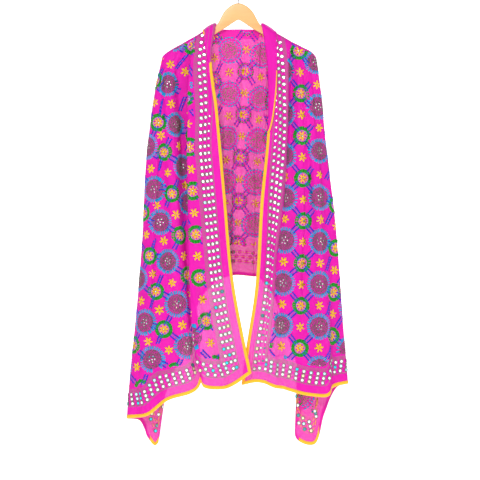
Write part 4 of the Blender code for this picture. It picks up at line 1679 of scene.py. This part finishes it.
@dataclass
class WireHook:
    """The bent steel hook in the hanger's plane."""

    wire: float = 2.0
    bend: float = 24.0
    sides: int = 20

    def path(self) -> Array:
        """Centre line in X and Z: up from the dome, an easy curve, then round the bend."""
        centre_z = self.wire - self.bend
        start = math.radians(-52)
        foot = -84.0
        stem_top = -57.0
        arc = np.array([self.bend * math.cos(start), centre_z + self.bend * math.sin(start)])
        heading = np.array([-math.sin(start), math.cos(start)])
        pull = 0.9 * math.hypot(arc[0], arc[1] - stem_top)
        s = np.linspace(0, 1, 16)[:-1, None]
        b0, b1 = 2 * s**3 - 3 * s**2 + 1, s**3 - 2 * s**2 + s
        b2, b3 = 3 * s**2 - 2 * s**3, s**3 - s**2
        ease = b0 * np.array([0, stem_top]) + b1 * np.array([0, pull]) + b2 * arc + b3 * pull * heading
        turn = np.linspace(start, math.radians(205), 60)[:, None]
        bend = np.hstack([self.bend * np.cos(turn), centre_z + self.bend * np.sin(turn)])
        stem = np.array([[0.0, foot], [0.0, foot + 6], [0.0, (foot + stem_top) / 2]])
        return np.concatenate([stem, ease, bend])

    def build(self) -> bpy.types.Object:
        """Sweep a round wire along the path, its free end rounded."""
        path = self.path()
        heading = unit(np.gradient(path, axis=0))
        tip = path[-1] + heading[-1] * np.array([[0.5], [0.87], [1.0]]) * self.wire
        path = np.concatenate([path, tip])
        heading = np.concatenate([heading, np.repeat(heading[-1:], 3, axis=0)])
        thick = np.concatenate([np.ones(len(path) - 3), [0.87, 0.5, 0.08]]) * self.wire
        around = on_circle(self.sides, 1.0)
        x = path[:, :1] + thick[:, None] * around[:, 0] * heading[:, 1:]
        z = path[:, 1:] - thick[:, None] * around[:, 0] * heading[:, :1]
        y = thick[:, None] * np.broadcast_to(around[:, 1], x.shape)
        rings = np.stack([x, y, z], axis=-1) * MM
        made = MeshBuild("wire_hook")
        made.add(rings, loop_faces(len(path), self.sides)[:, ::-1])
        made.add(rings[0], np.arange(self.sides)[None])
        made.add(rings[-1], np.arange(self.sides)[None, ::-1])
        return made.make([])


@dataclass
class Studio:
    """Pale floor, white backdrop, soft lights and the camera."""

    floor_z: float = -1.75
    half_width: float = 20
    front_y: float = -14
    back_y: float = 15
    air_light: float = 0.36

    def build(self) -> None:
        """Place them."""
        paper = StudioFinish().build()
        wide, near, far, z = self.half_width, self.front_y, self.back_y, self.floor_z
        for name, corners in (
            ("studio_floor", [(-wide, near, z), (wide, near, z), (wide, far, z), (-wide, far, z)]),
            ("studio_backdrop", [(-wide, far, -9), (wide, far, -9), (wide, far, 14), (-wide, far, 14)]),
        ):
            made = MeshBuild(name)
            made.add(np.array(corners, float), np.arange(4)[None])
            plane = made.make([paper], smooth=False)
        self.air()
        self.light("key", (-0.9, -4.0, 1.6), 1.9, 112)
        self.light("fill", (2.8, -3.0, 0.0), 2.2, 22)
        self.light("rear", (0.5, 2.6, 1.2), 2.0, 14)
        self.camera()
        bpy.context.scene.view_settings.view_transform = "Standard"

    def air(self) -> None:
        """Light the scene softly from all round, with plain white where nothing else is seen."""
        world = bpy.data.worlds.new("studio_air")
        world.use_nodes = True
        kit = NodeHelp(world.node_tree)
        lit = world.node_tree.nodes["Background"]
        lit.inputs["Color"].default_value = (1, 1, 1, 1)
        lit.inputs["Strength"].default_value = self.air_light
        seen = kit.add("ShaderNodeBackground")
        seen.inputs["Color"].default_value = (1, 1, 1, 1)
        either = kit.add("ShaderNodeMixShader")
        kit.feed(either.inputs[0], kit.add("ShaderNodeLightPath").outputs["Is Camera Ray"])
        kit.feed(either.inputs[1], lit.outputs[0])
        kit.feed(either.inputs[2], seen.outputs[0])
        kit.feed(world.node_tree.nodes["World Output"].inputs["Surface"], either.outputs[0])
        bpy.context.scene.world = world

    def light(self, name: str, place: tuple[float, float, float], size: float, power: float) -> None:
        """Add one square area light aimed at the shawl's middle."""
        data = bpy.data.lights.new(name, "AREA")
        data.size = size
        data.energy = power
        lamp = bpy.data.objects.new(name, data)
        lamp.location = place
        aim = Vector((0, 0, -0.7)) - lamp.location
        lamp.rotation_euler = aim.to_track_quat("-Z", "Y").to_euler()
        bpy.context.scene.collection.objects.link(lamp)

    def camera(self) -> None:
        """Add the camera: level, straight on, 1.32 m of the shawl's plane across the view."""
        data = bpy.data.cameras.new("view")
        data.sensor_width = 36
        data.lens = 36 * 5.97 / 1.32
        data.clip_end = 60
        eye = bpy.data.objects.new("view", data)
        eye.location = (0.0041, -6.0, -0.7295)
        eye.rotation_euler = (math.pi / 2, 0, 0)
        bpy.context.scene.collection.objects.link(eye)
        bpy.context.scene.camera = eye


# ---------------------------------------------------------------- the shawl


@dataclass(frozen=True)
class FallPlan:
    """One panel: its span of fold numbers, its flat origin and way, its lattice and its nodes."""

    name: str
    first: float
    last: float
    origin: float
    turn: int
    front_edge: bool
    phases: tuple[Phase, ...]
    nodes: tuple[str, ...]


PLANS = (
    FallPlan(
        "left_fall", 0, 13.5, 0, 1, True,
        (
            Phase(0, 2.5, 0, (0.365, 2.065), (0.92, 0.06), (-0.01, 1.01)),
            Phase(2.5, 13.5, 5.3, (0.0, 2.14), (0.92, 0.06), (0.185, 1.05)),
        ),
        ("left_border_fall", "left_front_fall", "left_side_fall"),
    ),
    FallPlan(
        "back_panel", 13.5, 22.5, 18, 1, False,
        (Phase(13.5, 22.5, 18, (-0.31, 3.25), (0.84, -0.02), (0.03, 1.01), -FAR),),
        ("back_fall",),
    ),
    FallPlan(
        "right_fall", 22.5, 36, 36, -1, True,
        (Phase(22.5, 36, 31.5, (0.50, 2.62), (0.93, 0.14), (-0.015, 0.985)),),
        ("right_side_fall", "right_front_fall", "right_border_fall"),
    ),
)
PHASE_MARGIN = 1.6  # fold numbers past a stretch that its motifs may reach over

LEFT_LAPEL_END, RIGHT_LAPEL_END = 0.11, 0.30
# Places across a binding, from the edge inwards.
OFFSETS = np.array([0.0, 0.0016, 0.0032, 0.0050, 0.0068, BINDING_WIDTH])


@dataclass
class Shawl:
    """The whole cloth with its bindings and embroidery."""

    drape: Drape

    def __post_init__(self) -> None:
        """Make the finishes and flat maps."""
        cloth = ClothFinish("crepe_right_side", (0.92, 0.004, 0.53), (0.78, 0.002, 0.42), (0.17, 0.21, 0.15))
        wrong = ClothFinish("crepe_wrong_side", (0.90, 0.009, 0.45), (0.76, 0.003, 0.35), (0.62, 0.10, 0.10),
                            cover=0.80, stitch_strength=0.55)
        self.right_side = cloth.build()
        self.wrong_side = wrong.build()
        self.yellow = BindingFinish().build()
        self.threads = [ThreadFinish(tone).build() for tone in Tone]
        self.foil = FoilFinish().build()
        self.taken: list[tuple[Array, Array, float]] = []
        self.flats = {
            plan.name: FlatMap(self.drape, plan.first, plan.last, plan.origin, plan.turn)
            for plan in PLANS
        }

    def dress(self, piece: bpy.types.Object, *materials: bpy.types.Material) -> bpy.types.Object:
        """Give a piece its materials and let it ride with the body."""
        for material in materials:
            piece.data.materials.append(material)
        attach(piece, "root")
        return piece

    def build(self) -> None:
        bindings = self.bindings()
        for plan in PLANS:
            flat = self.flats[plan.name]
            panel = Panel(plan.name, flat)
            piece = self.dress(panel.build(), self.right_side, self.wrong_side)
            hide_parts(*plan.nodes)
            width, length, area = panel.flat_size()
            log.info("%s flat %.3f x %.3f m, area %.3f", plan.name, width, length, area)
            self.embroider(plan, flat)
        self.turn_overs()

    def embroider(self, plan: FallPlan, flat: FlatMap) -> None:
        """Lay one panel's stitches and mirrors on both sides."""
        made = MeshBuild(plan.name + "_embroidery")
        reverse = MeshBuild(plan.name + "_reverse_stitches")
        mirrors = MeshBuild(plan.name + "_mirrors")
        for phase in plan.phases:
            first = max(phase.first - PHASE_MARGIN, 0)
            last = min(phase.last + PHASE_MARGIN, LAST_FOLD)
            field = FlatMap(self.drape, first, last, phase.origin, plan.turn)
            lattice = Lattice(field, phase, flat, self.taken)
            threads = Stitches(field, Side.RIGHT)
            discs = lattice.right_side(threads)
            threads.build(made)
            Mirrors(self.drape, sides=8).build(mirrors, *discs.T, 12, 0.40)
            back = Stitches(field, Side.WRONG)
            lattice.wrong_side(back)
            back.build(reverse)
        rows = MirrorRows(flat, plan.front_edge)
        back = Stitches(flat, Side.WRONG)
        rows.reverse(back)
        back.build(reverse)
        self.dress(made.make([]), *self.threads)
        self.dress(reverse.make([]), *self.threads)
        c, t, size = rows.places()
        Mirrors(self.drape).build(mirrors, c, t, 11, size)
        tail = ((c > 9.6) & (c < 12.6)) | ((c > 23.4) & (c < 26.8))
        Mirrors(self.drape).build(mirrors, c[tail], t[tail], 13, size[tail], Side.WRONG)
        self.dress(mirrors.make([]), self.foil, self.threads[list(Tone).index(Tone.OLIVE)])
        log.info("%s stitches %d faces", plan.name, sum(len(batch) for batch in made.faces))

    def edge_band(self, flat: FlatMap, t: Array) -> tuple[Array, Array]:
        """Cloth points and normals inwards from a front edge at shares t."""
        rows = np.repeat(t[:, None], len(OFFSETS), axis=1)
        v = np.broadcast_to(OFFSETS, rows.shape)
        return self.drape.sample(flat.column_at(v, rows), rows)

    def hem_band(self, c: Array) -> tuple[Array, Array]:
        """Cloth points and normals upwards from the bottom edge at fold numbers c."""
        drop = np.interp(c, self.drape.c, self.drape.drop)
        sine = np.interp(c, self.drape.c, self.drape.hem_sine)
        t = 1 - OFFSETS[None] / (drop * sine)[:, None]
        return self.drape.sample(np.repeat(c[:, None], len(OFFSETS), axis=1), t)

    def bindings(self) -> dict[str, list[str]]:
        """Build the yellow bindings and say which pieces lie on which panel."""
        for name, flat, top in (
            ("left_edge_yellow", self.flats["left_fall"], LEFT_LAPEL_END),
            ("right_edge_yellow", self.flats["right_fall"], RIGHT_LAPEL_END),
        ):
            strip = Binding(name).build(*self.edge_band(flat, np.linspace(top, 0.9995, 190)))
            piece = self.dress(strip.make([]), self.yellow)
            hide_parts(name.replace("yellow", "binding"))
        for name, runs in (
            ("left_hem_yellow", ((0.0, 8.3, True), (8.3, 10.3, False), (10.3, 11.6, True))),
            ("far_edge_yellow", ((11.6, 24.2, False),)),
            ("right_hem_yellow", ((24.2, 25.4, True), (25.4, 27.9, False), (27.9, float(LAST_FOLD), True))),
        ):
            strip = MeshBuild(name)
            for start, end, wraps in runs:
                c = np.linspace(start, end, int((end - start) * 22))
                Binding(name).build(*self.hem_band(c), wraps=wraps, made=strip)
            piece = self.dress(strip.make([]), self.yellow)
            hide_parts(name.replace("yellow", "binding"))
        return {
            "left_fall": ["left_edge_yellow", "left_hem_yellow"],
            "back_panel": ["far_edge_yellow"],
            "right_fall": ["right_edge_yellow", "right_hem_yellow"],
        }

    def turn_overs(self) -> None:
        """Build both lapels with their bindings, and the collar."""
        for name, node, key, end, width, flip in (
            ("left_turned_edge", "left_lapel", "left_fall", LEFT_LAPEL_END, 0.034, True),
            ("right_turned_edge", "right_lapel", "right_fall", RIGHT_LAPEL_END, 0.042, False),
        ):
            flat = self.flats[key]
            t = np.concatenate([np.array([0.0008, 0.003, 0.006]), np.linspace(0.010, end, 70)])
            taper = np.clip(1 - t / end, 0.0, 1.0) ** 0.75
            reach = 0.0065 + width * taper
            share = np.concatenate([np.linspace(0, 0.24, 9), np.linspace(0.24, 1, 17)[1:]])
            v = reach[:, None] * share[None]
            rows = np.repeat(t[:, None], len(share), axis=1)
            strip = TurnOver(name, self.drape, flat.column_at(v, rows), rows, 0.0016, 0.0022, flip,
                             0.026 if key == "left_fall" else -1.0)
            piece = self.dress(strip.build(), self.wrong_side, self.right_side)
            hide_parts(node)
            shown = t < 0.016 if key == "left_fall" else t > 0.11
            band = self.lapel_binding(strip, shown, name + "_yellow")
        c = np.linspace(17, 19, 60)
        first = 0.002 + np.concatenate([np.linspace(0, 0.008, 8), np.linspace(0.008, 0.036, 14)[1:]])
        places = np.repeat(c[:, None], len(first), axis=1)
        down = np.repeat(first[None], len(c), axis=0)
        collar = TurnOver("turned_neck_edge", self.drape, places, down, 0.0018, 0.002, False, 0.028)
        piece = self.dress(collar.build(), self.wrong_side, self.right_side)
        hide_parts("neck_collar")

    def lapel_binding(self, strip: TurnOver, shown: Array, name: str) -> str:
        """Bind a lapel's outer edge in the rows where the narrow yellow edge shows."""
        back = np.arange(strip.points.shape[1])[::-1]
        length = (strip.run[:, -1:] - strip.run[:, back])[shown]
        strip_points, strip_normals = strip.points[shown], strip.normals[shown]
        rows = np.arange(len(length))
        points = np.empty((len(rows), len(OFFSETS), 3))
        normals = np.empty_like(points)
        for row in rows:
            for axis in range(3):
                points[row, :, axis] = np.interp(OFFSETS * 0.4, length[row], strip_points[row, back, axis])
                normals[row, :, axis] = np.interp(OFFSETS * 0.4, length[row], strip_normals[row, back, axis])
        piece = self.dress(Binding(name, 0.0009).build(points, unit(normals)).make([]), self.yellow)
        return name


class Hanger:
    """The wooden body and its hook."""

    def build(self) -> None:
        """Build both pieces and dress them."""
        for piece, node, finish, slot in (
            (WoodBody().build(), "hanger_body", WoodFinish(), "hanger_wood"),
            (WireHook().build(), "hanger_hook", SteelFinish(), "hook_steel"),
        ):
            piece.data.materials.append(finish.build())
            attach(piece, "root")
            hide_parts(node)


def main() -> None:
    """Build the hanger, the shawl and the studio."""
    logging.basicConfig(level=logging.INFO, format="%(name)s: %(message)s")
    Hanger().build()
    drape = Drape()
    log.info("drape grid %d x %d", *drape.points.shape[:2])
    Shawl(drape).build()
    Studio().build()


if __name__ == "__main__":
    main()
